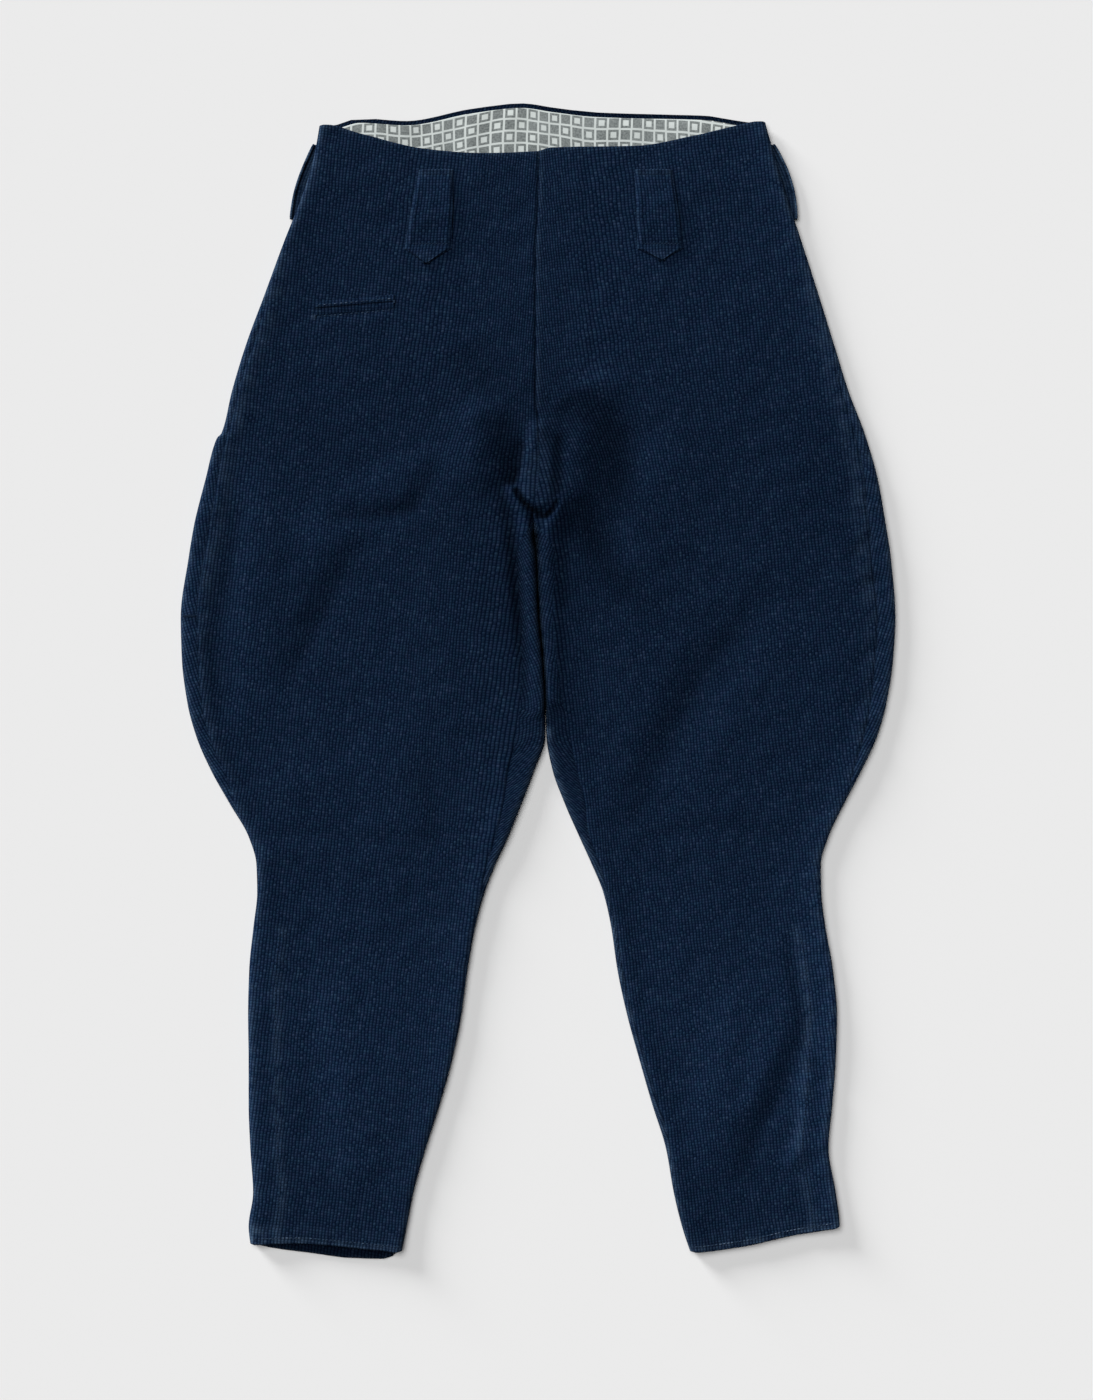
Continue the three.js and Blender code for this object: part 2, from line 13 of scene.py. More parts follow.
import bpy
import numpy as np
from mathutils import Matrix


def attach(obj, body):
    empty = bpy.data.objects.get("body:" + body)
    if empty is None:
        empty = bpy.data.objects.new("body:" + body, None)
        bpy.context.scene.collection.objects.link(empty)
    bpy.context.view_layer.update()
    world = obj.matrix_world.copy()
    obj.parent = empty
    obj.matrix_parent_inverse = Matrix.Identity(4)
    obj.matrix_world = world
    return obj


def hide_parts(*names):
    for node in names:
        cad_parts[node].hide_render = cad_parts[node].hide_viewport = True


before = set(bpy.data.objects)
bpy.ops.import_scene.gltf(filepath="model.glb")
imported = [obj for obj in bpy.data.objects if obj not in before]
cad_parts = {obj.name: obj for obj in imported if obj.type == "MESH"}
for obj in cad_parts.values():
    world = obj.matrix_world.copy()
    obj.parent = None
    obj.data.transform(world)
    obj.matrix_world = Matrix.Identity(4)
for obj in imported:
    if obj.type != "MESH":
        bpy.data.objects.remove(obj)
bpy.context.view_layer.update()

LOG = logging.getLogger("breeches")

Array = np.ndarray
Place = Callable[[Array], Array]
Path = tuple[tuple[float, float], ...]

# ---------------------------------------------------------------- sizes in millimetres

MM = 0.001  # metres in a millimetre
SHIFT = (-0.03, 0.29)  # from the drafting axes to the frame's origin

CLOTH = 1.8  # one thickness of the cloth
HEM_CLOTH = 3.0  # the same where the hem is turned in
HEM_BAND = 12.0  # how far up the hem is turned
HEM_STITCH = 4.6  # how far above the hem's edge its stitches run
FACING_CLOTH = 1.2
SLIT_GAP = 0.02  # between the two thighs below the fork
SLIT_OPENS = 12.0  # how far below the fork that gap is reached
INSEAM_STARTS = 34.0  # how far below the fork the inseam lies at its full distance in
BACK_SEAM_SIDE = 1.6  # how far the back's centre seam lies beside the front's
BACK_SEAM_STARTS = 12.0  # how far above the fork it has moved over

WAIST_Y = 498.0
HEM_Y = -505.0
FORK_Y = 149.0
WAIST_REACH = 100.0  # how far down the waist's curve bends the grain
HEM_REACH = 90.0

ROLL = 5.0  # how far in from an edge the cloth has turned over
ROLL_MIDDLE = 4.5  # height of the outermost point of that turn
LEAST_LOFT = 4.4  # height of the cloth at the bottom of the deepest fold
PLACKET = 28.0  # width of the strip over the closing of a calf
PLACKET_TOP_Y = -222.0
POCKET_TOP_Y = 219.0  # ends of the pocket in the right side seam
POCKET_FOOT_Y = 57.0
ROW_STEP = 3.5  # between two rows of a panel's mesh
FORK_ROW_STEP = 1.7  # the same near the fork
FORK_ROWS_START = 245.0
FORK_ROWS_END = 90.0
END_ROWS = (0.0, 0.5, 1.2, 2.2)  # from the waist and from the hem

# Sections of a leg: place along it, then distances from the midline to the outer and the inner
# edge, and how far in from them the side seam and the inseam lie on top.
# y, outer, side seam, inseam, inner
RIGHT_SECTIONS = (
    (500, 196, 0, 0, 5), (470, 201.5, 0, 0, 5), (430, 214, 0, 0, 5), (400, 226, 0, 0, 5),
    (350, 244.5, 4, 0, 5), (300, 263, 7, 0, 5), (260, 275, 6, 0, 5), (222, 284.5, 6, 0, 5),
    (218, 288.5, 9, 0, 5), (180, 299, 11, 0, 5), (149, 307, 14, 0, 4.6), (140, 309, 14, 15, 4),
    (110, 314, 14, 18, 1.4), (57, 321, 15, 17, -1), (20, 320, 15, 19, -4.5),
    (-20, 315, 13, 23, -6.6), (-50, 307, 12, 26, -6.4), (-80, 294, 12, 23, 3.4),
    (-110, 277.2, 5, 16, 14.8), (-140, 260, 0, 11, 26.8), (-165, 253, 0, 7, 38.5),
    (-190, 252.3, 0, 3, 48.1), (-220, 255.5, 0, 0, 56.3), (-260, 259.5, 0, 0, 63.5),
    (-300, 260.5, 0, 0, 69), (-340, 260, 0, 0, 77.2), (-380, 260, 0, 0, 88.3),
    (-420, 258.5, 0, 0, 101), (-460, 256, 0, 0, 112.2), (-490, 260, 0, 0, 118),
    (-515, 257, 0, 0, 123),
)
LEFT_SECTIONS = (
    (500, 204.5, 0, 0, -5), (470, 213, 0, 0, -5), (430, 225, 0, 0, -5), (400, 235, 0, 0, -5),
    (350, 251, 0, 0, -5), (300, 266.5, 3, 0, -5), (260, 279, 6, 0, -5), (222, 293.5, 9, 0, -5),
    (180, 305.5, 12, 0, -5), (149, 311, 15, 0, -4.6), (140, 312.5, 15, 15, -4),
    (110, 317, 18, 17, -1.4), (57, 321, 16, 12, 1), (20, 319, 16, 12, 4.5),
    (-20, 313, 14, 16, 6.6), (-50, 304.5, 12, 21, 7.5), (-80, 290.6, 7, 22, 13),
    (-110, 275, 0, 18, 23.9), (-140, 260.8, 0, 9, 37.1), (-165, 254, 0, 7, 48.4),
    (-190, 254.5, 0, 4, 58.6), (-220, 258, 0, 4, 65.5), (-260, 265, 0, 5, 71.4),
    (-300, 268.6, 0, 5, 80), (-340, 267.5, 0, 6, 91), (-380, 264.5, 0, 6, 102.5),
    (-420, 261, 0, 4, 114.9), (-460, 267.5, 0, 2, 122), (-490, 271, 0, 2, 129.3),
    (-515, 271, 0, 2, 137.5),
)

# Centre seams of the front and the back: place along them, distance from the midline.
MIDLINE = ((475, 1), (430, 0), (380, -2), (260, -2), (225, 0.5), (190, 1), (149, -4.6))

# Curved edges: place across, place along.
WAIST_FRONT = (
    (-196, 498), (-188, 498), (-160, 491), (-100, 477), (-50, 473), (0, 475), (12, 478),
    (85, 479.5), (135, 488), (185, 499), (196, 501), (205, 501),
)
WAIST_BACK = (
    (-196, 498), (-188, 498), (-160, 505), (-120, 503), (-60, 514), (-15, 519), (15, 515),
    (50, 511), (150, 507.5), (196, 501), (205, 501),
)
HEM_FRONT = (
    (-256, -505), (-220, -504.5), (-142, -510.5), (-123, -512), (138, -512), (178, -508),
    (225, -498), (270, -490),
)
HEM_BACK = (
    (-256, -505), (-243, -508.5), (-203, -514), (-162, -518.5), (-134, -519), (-123, -512),
    (138, -512), (178, -508), (225, -498), (270, -490),
)

# Front belt loops: middle, place along and width, at the top, halfway, the shoulders and the point.
RIGHT_LOOP_ROWS = ((-91.5, 458, 30), (-95, 423, 37), (-98.5, 388, 42), (-100.5, 375, 3))
LEFT_LOOP_ROWS = ((103.5, 458, 33), (107, 423, 37), (110, 388, 41), (111, 378, 3))

# Height of the unfolded cloth, and how much lighter or darker its colour is made, along the legs.
LOFT = (
    (520, 8.6), (450, 8.4), (400, 7), (300, 6.4), (200, 7), (80, 6.6), (-150, 6.4), (-450, 6.6),
    (-500, 8),
)
TONE_ALONG_LEGS = (
    (500, 0.16), (400, 0.10), (330, 0.04), (200, -0.08), (60, -0.02), (-150, 0.08), (-330, 0.30),
    (-500, -0.06),
)


# ---------------------------------------------------------------- curves

def along(rows: tuple[tuple[float, ...], ...], at: Array, column: int = 1) -> Array:
    """Smooth value of one column, without overshoot.

    Args:
        rows: A table whose first column is the place, sorted either way.
        at: The places to read.
        column: The column to read.

    Returns:
        One value for each place, held level past the ends of the table.
    """
    data = np.array(sorted(rows), float)
    key, value = data[:, 0], data[:, column]
    run = np.diff(key)
    slope = np.diff(value) / run
    product = slope[:-1] * slope[1:]
    total = np.where(product > 0, slope[:-1] + slope[1:], 1)
    middle = np.where(product > 0, 2 * product / total, 0)
    tangent = np.concatenate([slope[:1], middle, slope[-1:]])
    place = np.clip(at, key[0], key[-1])
    i = np.clip(np.searchsorted(key, place, side="right") - 1, 0, len(run) - 1)
    t = (place - key[i]) / run[i]
    start = (1 + 2 * t) * (1 - t) ** 2 * value[i] + t * (1 - t) ** 2 * run[i] * tangent[i]
    end = t * t * (3 - 2 * t) * value[i + 1] + t * t * (t - 1) * run[i] * tangent[i + 1]
    return start + end


def bump(distance: Array, width: Array | float) -> Array:
    """Soft bell: 1 at no distance, close to 0 two widths away."""
    return np.exp(-((distance / width) ** 2))


def step(value: Array, start: float, end: float) -> Array:
    """Smooth rise from 0 at start to 1 at end."""
    t = np.clip((value - start) / (end - start), 0, 1)
    return t * t * (3 - 2 * t)


@dataclass(frozen=True)
class Band:
    """A soft band along a line: its strength, its width, and how far past the line it runs."""

    strength: float
    width: float
    past: float = 0.0

    def at(self, distance: Array) -> Array:
        """Its strength at distances from the line."""
        return self.strength * bump(distance - self.past, self.width)


@dataclass(frozen=True)
class Waves:
    """Irregular soft waves: their height, their usual length, and the seed that picks them."""

    height: float
    length: float
    seed: int
    count: int = 7
    least: float = 0.7
    most: float = 1.5

    def at(self, x: Array, y: Array) -> Array:
        """Heights at places in plan, between about -1 and 1 times the waves' height.

        Args:
            x: Places across.
            y: Places along.

        Returns:
            One height for each place.
        """
        draw = np.random.default_rng(self.seed)
        total = np.zeros(np.broadcast(x, y).shape)
        for _ in range(self.count):
            angle, phase = draw.uniform(0, 2 * math.pi, 2)
            wave = 2 * math.pi / (self.length * draw.uniform(self.least, self.most))
            total = total + np.sin(wave * (x * math.cos(angle) + y * math.sin(angle)) + phase)
        return self.height * (total / math.sqrt(self.count))


def nearest(x: Array, y: Array, path: Path) -> tuple[Array, Array, Array]:
    """Distance from places to a path of straight runs.

    Args:
        x: Places across.
        y: Places along.
        path: The path's corners.

    Returns:
        The distance, the side of the path (-1 on its right, 1 on its left, walking along it), and
        how far along the path the nearest point is, from 0 to 1.
    """
    best = np.full(np.broadcast(x, y).shape, np.inf)
    side = np.zeros_like(best)
    reached = np.zeros_like(best)
    lengths = [math.dist(a, b) for a, b in zip(path, path[1:])]
    walked = 0.0
    for (ax, ay), (bx, by), length in zip(path, path[1:], lengths):
        dx, dy = (bx - ax) / length, (by - ay) / length
        t = np.clip((x - ax) * dx + (y - ay) * dy, 0, length)
        px, py = x - ax - t * dx, y - ay - t * dy
        distance = np.hypot(px, py)
        closer = distance < best
        best = np.where(closer, distance, best)
        side = np.where(closer, np.sign(dx * py - dy * px), side)
        reached = np.where(closer, (walked + t) / sum(lengths), reached)
        walked += length
    return best, side, reached


@dataclass(frozen=True)
class Fold:
    """A ridge or a trough along a path, in millimetres.

    Its slope may be steeper on one side, its crown may be flat and may widen from the path's start,
    and it may die away towards its ends.
    """

    path: Path
    width: float
    rise: float
    right_width: float = 0.0
    fading: bool = False
    crown: float = 0.0
    crown_grows: tuple[float, float] = (-0.15, 0.55)  # along the path, from 0 to 1
    end_power: float = 0.6

    def height(self, x: Array, y: Array) -> Array:
        """How much the fold raises the cloth at each place.

        Args:
            x: Places across.
            y: Places along.

        Returns:
            One height for each place.
        """
        distance, side, reached = nearest(x, y, self.path)
        width = np.where(side < 0, self.right_width or self.width, self.width)
        if self.crown:
            distance = np.maximum(distance - self.crown * step(reached, *self.crown_grows), 0)
        height = self.rise * bump(distance, width)
        return height * np.sin(math.pi * reached) ** self.end_power if self.fading else height


BROAD_FOLDS = (
    Fold(((-53, 235), (-60, 190)), 17, 3.5),
    Fold(((-92, 190), (-190, 130)), 26, 2.5),
    Fold(((38, 220), (33, 175)), 14, 2.0),
    Fold(((100, 195), (84, 110)), 22, 2.6),
    Fold(((-250, 170), (-262, -30)), 18, 1.8),
    Fold(((-150, -70), (-235, -95)), 16, 0.8),
    Fold(((-110, -130), (-232, -150)), 16, 0.7),
    Fold(((170, -300), (150, -420)), 20, 1.6),
    Fold(((-190, -290), (-170, -430)), 20, 1.6),
)
FINE_FOLDS = (
    # The cloth that stands up like a finger at the foot of the fly, and what hollows it.
    Fold(((0, 224), (1, 205), (1, 188), (0, 168)), 7.5, 4.4, crown=8.5),
    Fold(((-13, 208), (-15, 198), (-18, 187), (-22, 177)), 2.6, -3.2, 7.0),
    Fold(((20, 216), (19, 196), (18, 178), (18, 166)), 5.0, -2.4),
    Fold(((-19, 170), (-12, 160), (-5, 153), (2, 150)), 2.6, -7.0),
    Fold(((-1, 147), (7, 147.5), (13.5, 153), (17, 160)), 2.2, -5.0),
    # The rolls of the inner thighs beside the slit.
    Fold(
        ((-25, 171), (-20, 160), (-13, 148), (-11.5, 136), (-7.5, 95), (-4, 41), (1, -25)),
        4.6, 5.0, 4.4, crown=2.6,
    ),
    Fold(
        ((19, 163), (16, 149), (9.5, 133), (9.5, 110), (12, 63), (13, 20), (13, -17)),
        5.6, 3.4, crown=2.0,
    ),
    Fold(
        ((-33, 182), (-28, 150), (-24.5, 136), (-20.5, 95), (-15, 41), (-9, -20)),
        5.5, -2.6, fading=True,
    ),
    Fold(((27, 150), (24, 110), (26, 60)), 7, -1.6, fading=True),
    # Hollows and ridges that run away from the fork.
    Fold(((-31, 225), (-28, 192)), 13, -2.0),
    Fold(((22, 257), (60, 240), (76, 214), (82, 170), (108, 124)), 17, -2.3, 24, fading=True),
    Fold(((33, 163), (60, 118), (92, 73)), 16, -2.6, fading=True),
    Fold(((-40, 250), (-68, 300)), 22, -1.6, fading=True),
    Fold(((12, 252), (48, 268), (84, 274)), 9, 2.0, fading=True),
    Fold(((-84, 205), (-95, 184), (-114, 156), (-150, 147), (-190, 147)), 9, -3.2, 13, fading=True),
    Fold(((-150, 136), (-172, 108), (-190, 75), (-226, 2)), 10, -2.6, 15, fading=True),
    Fold(((216, 92), (188, 58), (142, 0), (107, -68), (80, -142)), 12, -2.2, 19, fading=True),
    Fold(((250, 70), (212, 30), (160, -44), (112, -130)), 17, 1.2, fading=True),
    Fold(((-97, -53), (-100, -100), (-88, -152)), 12, -1.4, fading=True),
    Fold(((-250, -134), (-180, -141), (-88, -143)), 9, -1.0, fading=True),
    Fold(((92, -138), (170, -130), (246, -142)), 9, -0.8, fading=True),
    Fold(((-264, 181), (-291, 28), (-282, -35)), 9, -2.0, fading=True),
    Fold(((295, 125), (288, 118)), 7, -1.2),
    Fold(((304, 92), (296, 84)), 7, -1.3),
    Fold(((301, 30), (290, 22)), 7, -1.0),
    Fold(((296, -10), (286, -20)), 8, -1.0),
    # The calf of the left leg, which has crumpled above its hem.
    Fold(
        ((247, -292), (236, -322), (227, -345), (209, -384), (195, -408), (188, -457)),
        9, -2.5, 13, fading=True,
    ),
    Fold(((214, -300), (204, -350), (182, -402)), 13, 1.6, fading=True),
    Fold(((240, -362), (240, -401), (235, -420), (228, -434)), 8, 2.8),
    Fold(((226, -226), (226, -246), (233, -275), (239, -303), (239, -335)), 7, -2.0, fading=True),
    Fold(((250, -345), (262, -362)), 6, -1.8),
    # The calf of the right leg.
    Fold(((-236, -262), (-240, -340), (-236, -420)), 12, -1.0, fading=True),
    Fold(((-214, -250), (-200, -330), (-206, -420)), 16, -1.0, fading=True),
)

# Painted shade: darker marks in the hollows, creases and troughs round the fork, on the thighs and
# calves and beside the rolls, where shade falls; also a few lighter and darker patches of tone, and
# a pale band under the pocket's lips, beside what the folds show.
PAINTED_SHADE_AND_TONE = (
    Fold(((0, 205), (-4, 120)), 62, -0.22),
    Fold(
        ((-33, 182), (-28, 150), (-24.5, 136), (-20.5, 95), (-15, 41), (-9, -30)),
        8, -0.30, fading=True,
    ),
    Fold(((-31, 172), (-26, 90), (-18, -10)), 18, -0.10),
    Fold(((-17, 168), (-12, 160), (-5, 153), (2, 150)), 1.7, -0.6, fading=True),
    Fold(((-1, 147), (7, 147.5), (13.5, 153), (16, 158)), 1.5, -0.4, fading=True),
    Fold(((-24, 205), (-25, 188)), 10, -0.16),
    Fold(((-26, 70), (-20, -50)), 34, -0.15),
    Fold(((30, 70), (26, -50)), 24, -0.12),
    Fold(((-40, 226), (-36, 186)), 24, -0.26),
    Fold(((50, 222), (58, 176)), 32, -0.30),
    Fold(((22, 257), (60, 240), (76, 214), (82, 170), (108, 124)), 20, -0.17, 26),
    Fold(((36, 200), (34, 165)), 22, -0.16),
    Fold(((30, 158), (56, 109), (92, 73)), 20, -0.26),
    Fold(((-95, 186), (-114, 157), (-184, 147)), 9, -0.24, 13),
    Fold(((-154, 133), (-190, 75), (-225, 3)), 10, -0.2),
    Fold(((188, 60), (140, 0), (105, -70), (80, -142)), 14, -0.17, 22, fading=True),
    Fold(((247, -292), (223, -350), (193, -410), (188, -457)), 12, -0.18, 18, fading=True),
    Fold(((-255, 300), (-300, 60)), 26, 0.20),
    Fold(((-322, 55), (-307, 56)), 1.4, -0.6),
    Fold(((-196, 324), (-136, 329.5)), 3.0, 0.42),
    Fold(((-150, 100), (-160, -60)), 60, 0.10),
    Fold(((230, -200), (240, -420)), 30, 0.10),
    Fold(((290, 200), (300, 20)), 22, -0.10),
)


# ---------------------------------------------------------------- the legs

EDGE_RISE = Band(2.8, 20)  # how much higher the cloth stands near its folded edges
LONG_WAVES = Waves(0.5, 75, 3)
SHORT_WAVES = Waves(0.22, 26, 5)

# Where things start and end along the legs.
SLIT_CLOSED = (-75, -25)  # up from here the thighs press together and hide the inseam's groove
SEAT_PALER = (150, 330)
CALF_TOP_Y = -60.0
KNEE_Y = -40.0

# The edge of the shield under the fly, from the waist round to the centre seam.
FLY_SHIELD = (
    (41, 480), (42, 420), (46, 360), (50, 315), (47, 288), (35, 271), (17, 257), (0, 246),
)
NUB = FINE_FOLDS[0]


@dataclass(frozen=True)
class SeamShape:
    """A sunk seam with its pressed allowance and its gathers, in millimetres."""

    groove: Band = Band(-0.55, 1.8)
    rise: float = 0.35
    rise_start: tuple[float, float] = (0.5, 2.5)
    rise_end: tuple[float, float] = (9, 13)
    gathered: Band = Band(0.4, 9)
    waves: Waves = Waves(1.0, 15, 11)
    stretch: float = 0.35  # of the gathers, across the seam
    side_shows: tuple[float, float] = (2, 6)  # how far in from its edge a seam has to lie
    inside_shows: tuple[float, float] = (1, 5)
    hollow: Band = Band(-0.5, 7, 2)  # beside the inseam of the thigh
    hollow_foot: tuple[float, float] = (-10, 60)
    hollow_top: tuple[float, float] = (24, 50)  # below the fork
    pucker: Band = Band(0.35, 7, 9)  # of an edge without a seam on top

    def height(self, past: Array, gather: Array) -> Array:
        """What the seam adds to the cloth's height.

        Args:
            past: Distance past the seam, into the front.
            gather: Waves along it.

        Returns:
            The height.
        """
        allowance = self.rise * step(past, *self.rise_start) * (1 - step(past, *self.rise_end))
        return self.groove.at(past) + allowance + self.gathered.at(past) * gather


@dataclass(frozen=True)
class FlyShape:
    """The fly's lap over the right front and the shield under it, in millimetres."""

    starts: tuple[float, float] = (205, 260)
    groove: Band = Band(-0.8, 1.6)
    lap: float = 0.9
    lap_width: float = 16
    shield: float = 0.4
    shield_edge: tuple[float, float] = (-1.2, 1.2)
    shield_reach: float = 60
    shield_starts: tuple[float, float] = (236, 262)
    shield_groove: Band = Band(-0.35, 2.2)


@dataclass(frozen=True)
class HemShape:
    """The doubled cloth of a hem, drawn in by its stitches, in millimetres."""

    rise: float = 0.55
    edge: tuple[float, float] = (HEM_BAND - 1.5, HEM_BAND + 1)
    pull: Waves = Waves(0.22, 11, 21)
    pull_width: float = 6
    stretch: float = 0.3  # of the pulls, up the leg


@dataclass(frozen=True)
class PlacketShape:
    """The stitched inner edge of a calf placket: place and widths in millimetres."""

    line: float = PLACKET - 2.0
    starts: tuple[float, float] = (PLACKET_TOP_Y - 4, PLACKET_TOP_Y + 6)
    rise: float = 0.5
    rise_width: float = 5.0
    wear: float = 0.07
    wear_width: float = 8.0
    strip_fade: float = 0.1
    ridge_fade: float = 0.22
    ridge_wear: float = 0.4
    ridge_width: float = 4.0


@dataclass(frozen=True)
class SlitShape:
    """The slit between the thighs, darkened with painted shade, in millimetres."""

    foot: tuple[float, float] = (-50, -20)
    top: tuple[float, float] = (FORK_Y - 20, FORK_Y - 9)
    width: float = 1.3
    wider: Band = Band(1.8, 12, 129)
    slit_shade: float = 1.8


@dataclass(frozen=True)
class SideLoopSize:
    """A belt loop at the side, trapped under the back, in millimetres."""

    top: float = 482
    foot: float = 415
    width: float = 34
    cloth: float = 2.1
    root: float = 3
    bow: float = 9
    bow_power: float = 0.8
    rim: float = 5.6
    lift: float = 2.7
    clear_across: float = 8
    clear_below: float = 3
    ease_across: float = 40
    ease_below: float = 24


@dataclass(frozen=True)
class ToneAndShade:
    """How much lighter or darker the legs are made: fading at their edges and on ridges, and
    painted shade in hollows, along seam grooves and beside the belt loops; widths in millimetres.
    """

    left_seat: float = 0.06
    outer_edge: Band = Band(0.3, 14)
    calf_edge: Band = Band(0.2, 10)
    # How strongly the folds darken their hollows as painted shade and pale their ridges as fading,
    # up to ridge_limit.
    fold: float = 0.85
    fold_height: float = 5  # height at which a fold's effect levels off
    ridge_limit: float = 0.24
    # Painted shade along the inseam's groove and along the fly's edge over the centre seam.
    inseam: Band = Band(0.16, 2.0)
    centre_seam_shade: Band = Band(0.6, 1.3, -0.9)
    centre_starts: tuple[float, float] = (FORK_Y + 20, FORK_Y + 60)
    # Painted shadow along the two sides of a front belt loop.
    painted_loop_shadow: Band = Band(0.25, 1.7, 0.8)
    loop_foot: float = 2
    loop_top: float = 3


@dataclass(frozen=True)
class Spot:
    """A small rubbed place, in millimetres."""

    x: float
    y: float
    strength: float
    width: float

    def at(self, x: Array, y: Array) -> Array:
        """Its strength at places in plan."""
        return self.strength * bump(np.hypot(x - self.x, y - self.y), self.width)


@dataclass(frozen=True)
class Rubbed:
    """How strongly places of the legs are rubbed, with a painted highlight along the fly's lap;
    widths in millimetres.
    """

    right_edge: Band = Band(0.5, 4.5)
    left_edge: Band = Band(0.65, 4.5)
    side_seam: Band = Band(0.25, 5, 3)
    allowance: Band = Band(0.26, 5.5, 9)
    allowance_foot: tuple[float, float] = (20, 90)
    allowance_top: tuple[float, float] = (330, 400)
    hem: float = 0.75
    hem_edge: Band = Band(1, 3.4, 1.5)
    hem_stitches: Band = Band(0.2, 3, HEM_BAND)
    waist: Band = Band(0.5, 2.5)
    # Rubbed pale along the edge of the fly's lap: partly wear, partly a painted highlight.
    lap: Band = Band(0.34, 2.0, 2.2)
    lap_starts: tuple[float, float] = (215, 260)
    spots: tuple[Spot, ...] = (Spot(-256, -496, 1.5, 7), Spot(-200.8, 327.0, 2.4, 1.4))
    nub: float = 0.16


SEAM, FLY, HEM, STRIP, SLIT = SeamShape(), FlyShape(), HemShape(), PlacketShape(), SlitShape()
SIDE_LOOP, TONE_AND_SHADE, RUBBED = SideLoopSize(), ToneAndShade(), Rubbed()


@dataclass(frozen=True)
class Leg:
    """One leg with the half of the seat above it.

    Its side is -1 for the wearer's right and 1 for the left.
    """

    name: str
    side: int
    sections: tuple[tuple[float, ...], ...]
    loop: tuple[tuple[float, float, float], ...]

    @property
    def loop_places(self) -> tuple[float, float, float]:
        """Places along of the front belt loop's top, shoulders and point."""
        return self.loop[0][1], self.loop[2][1], self.loop[3][1]

    def loop_at(self, y: Array) -> tuple[Array, Array]:
        """Place across of the front belt loop's middle, and its width."""
        rows = np.array(self.loop)[::-1]
        return np.interp(y, rows[:, 1], rows[:, 0]), np.interp(y, rows[:, 1], rows[:, 2])

    def outer(self, y: Array) -> Array:
        """Place across of the outer edge."""
        return self.side * along(self.sections, y, 1)

    def inner(self, y: Array) -> Array:
        """Place across of the centre seam, or of the inner edge below the fork.

        Args:
            y: Places along.

        Returns:
            One place across for each place along.
        """
        opened = np.clip((FORK_Y - y) / SLIT_OPENS, 0, 1)
        edge = self.side * (along(self.sections, y, 4) + opened * SLIT_GAP / 2)
        return np.where(y >= FORK_Y, along(MIDLINE, y), edge)

    def out_seam(self, y: Array) -> Array:
        """How far in from the outer edge the side seam lies on top."""
        return along(self.sections, y, 2)

    def in_seam(self, y: Array) -> Array:
        """How far in from the inner edge the inseam lies on top."""
        shown = along(self.sections, y, 3) * step(FORK_Y - y, 0, INSEAM_STARTS)
        return np.where(y >= FORK_Y, 0, shown)

    def past_outer(self, x: Array, y: Array) -> Array:
        """Distance in from the outer edge."""
        return np.abs(x - self.outer(y))

    def past_side(self, x: Array, y: Array) -> Array:
        """Distance past the side seam, into the front."""
        return self.past_outer(x, y) - self.out_seam(y)

    def past_inside(self, x: Array, y: Array) -> Array:
        """Distance past the inseam or the centre seam, into the front."""
        return np.abs(x - self.inner(y)) - self.in_seam(y)

    def to_edge(self, x: Array, y: Array) -> Array:
        """Distance in plan to the nearest folded edge.

        Args:
            x: Places across.
            y: Places along.

        Returns:
            One distance for each place.
        """
        fork = np.hypot(x - along(MIDLINE, np.array(FORK_Y)), y - FORK_Y)
        inner = np.where(y > FORK_Y, fork, np.abs(x - self.inner(y)))
        return np.minimum(self.past_outer(x, y), inner)

    def turned(self, x: Array, y: Array) -> Array:
        """0 at a folded edge, 1 where the cloth has turned flat."""
        left = 1 - np.minimum(self.to_edge(x, y) / ROLL, 1)
        return np.sqrt(1 - left * left)

    def folds(self, x: Array, y: Array) -> Array:
        """Height of all the folds together."""
        return sum(fold.height(x, y) for fold in (*BROAD_FOLDS, *FINE_FOLDS))

    def top(self, x: Array, y: Array) -> Array:
        """Height of the upper face of the cloth on top.

        Args:
            x: Places across.
            y: Places along.

        Returns:
            One height for each place.
        """
        loft = along(LOFT, y) + EDGE_RISE.at(self.to_edge(x, y)) + self.folds(x, y)
        soft = LONG_WAVES.at(x, y) + SHORT_WAVES.at(x, y)
        flat = np.maximum(loft, LEAST_LOFT) + soft + self.sewing(x, y)
        return ROLL_MIDDLE + (flat - ROLL_MIDDLE) * self.turned(x, y)

    def sewing(self, x: Array, y: Array) -> Array:
        """What the seams, the fly and the hem add to the height.

        Args:
            x: Places across.
            y: Places along.

        Returns:
            One height for each place.
        """
        past_inside = self.past_inside(x, y)
        side_weight = step(self.out_seam(y), *SEAM.side_shows)
        inside_weight = step(self.in_seam(y), *SEAM.inside_shows) * (y < FORK_Y)
        waves = replace(SEAM.waves, seed=SEAM.waves.seed + self.side)
        gather = waves.at(x * SEAM.stretch, y)
        sunk = inside_weight * (1 - step(y, *SLIT_CLOSED))
        deep = step(y, *SEAM.hollow_foot) * inside_weight * step(FORK_Y - y, *SEAM.hollow_top)
        pucker = SEAM.pucker.at(self.past_outer(x, y)) * (1 - side_weight) * gather
        total = SEAM.height(self.past_side(x, y), gather) * side_weight
        total = total + SEAM.height(past_inside, gather) * sunk + SEAM.hollow.at(past_inside) * deep
        total = total + STRIP.rise * self.placket_ridge(x, y, STRIP.rise_width)
        return total + pucker + self.fly(x, y) + self.hem(x, y)

    def placket_ridge(self, x: Array, y: Array, width: float) -> Array:
        """1 along the stitched inner edge of the calf placket, 0 away from it."""
        return bump(self.past_outer(x, y) - STRIP.line, width) * (1 - step(y, *STRIP.starts))

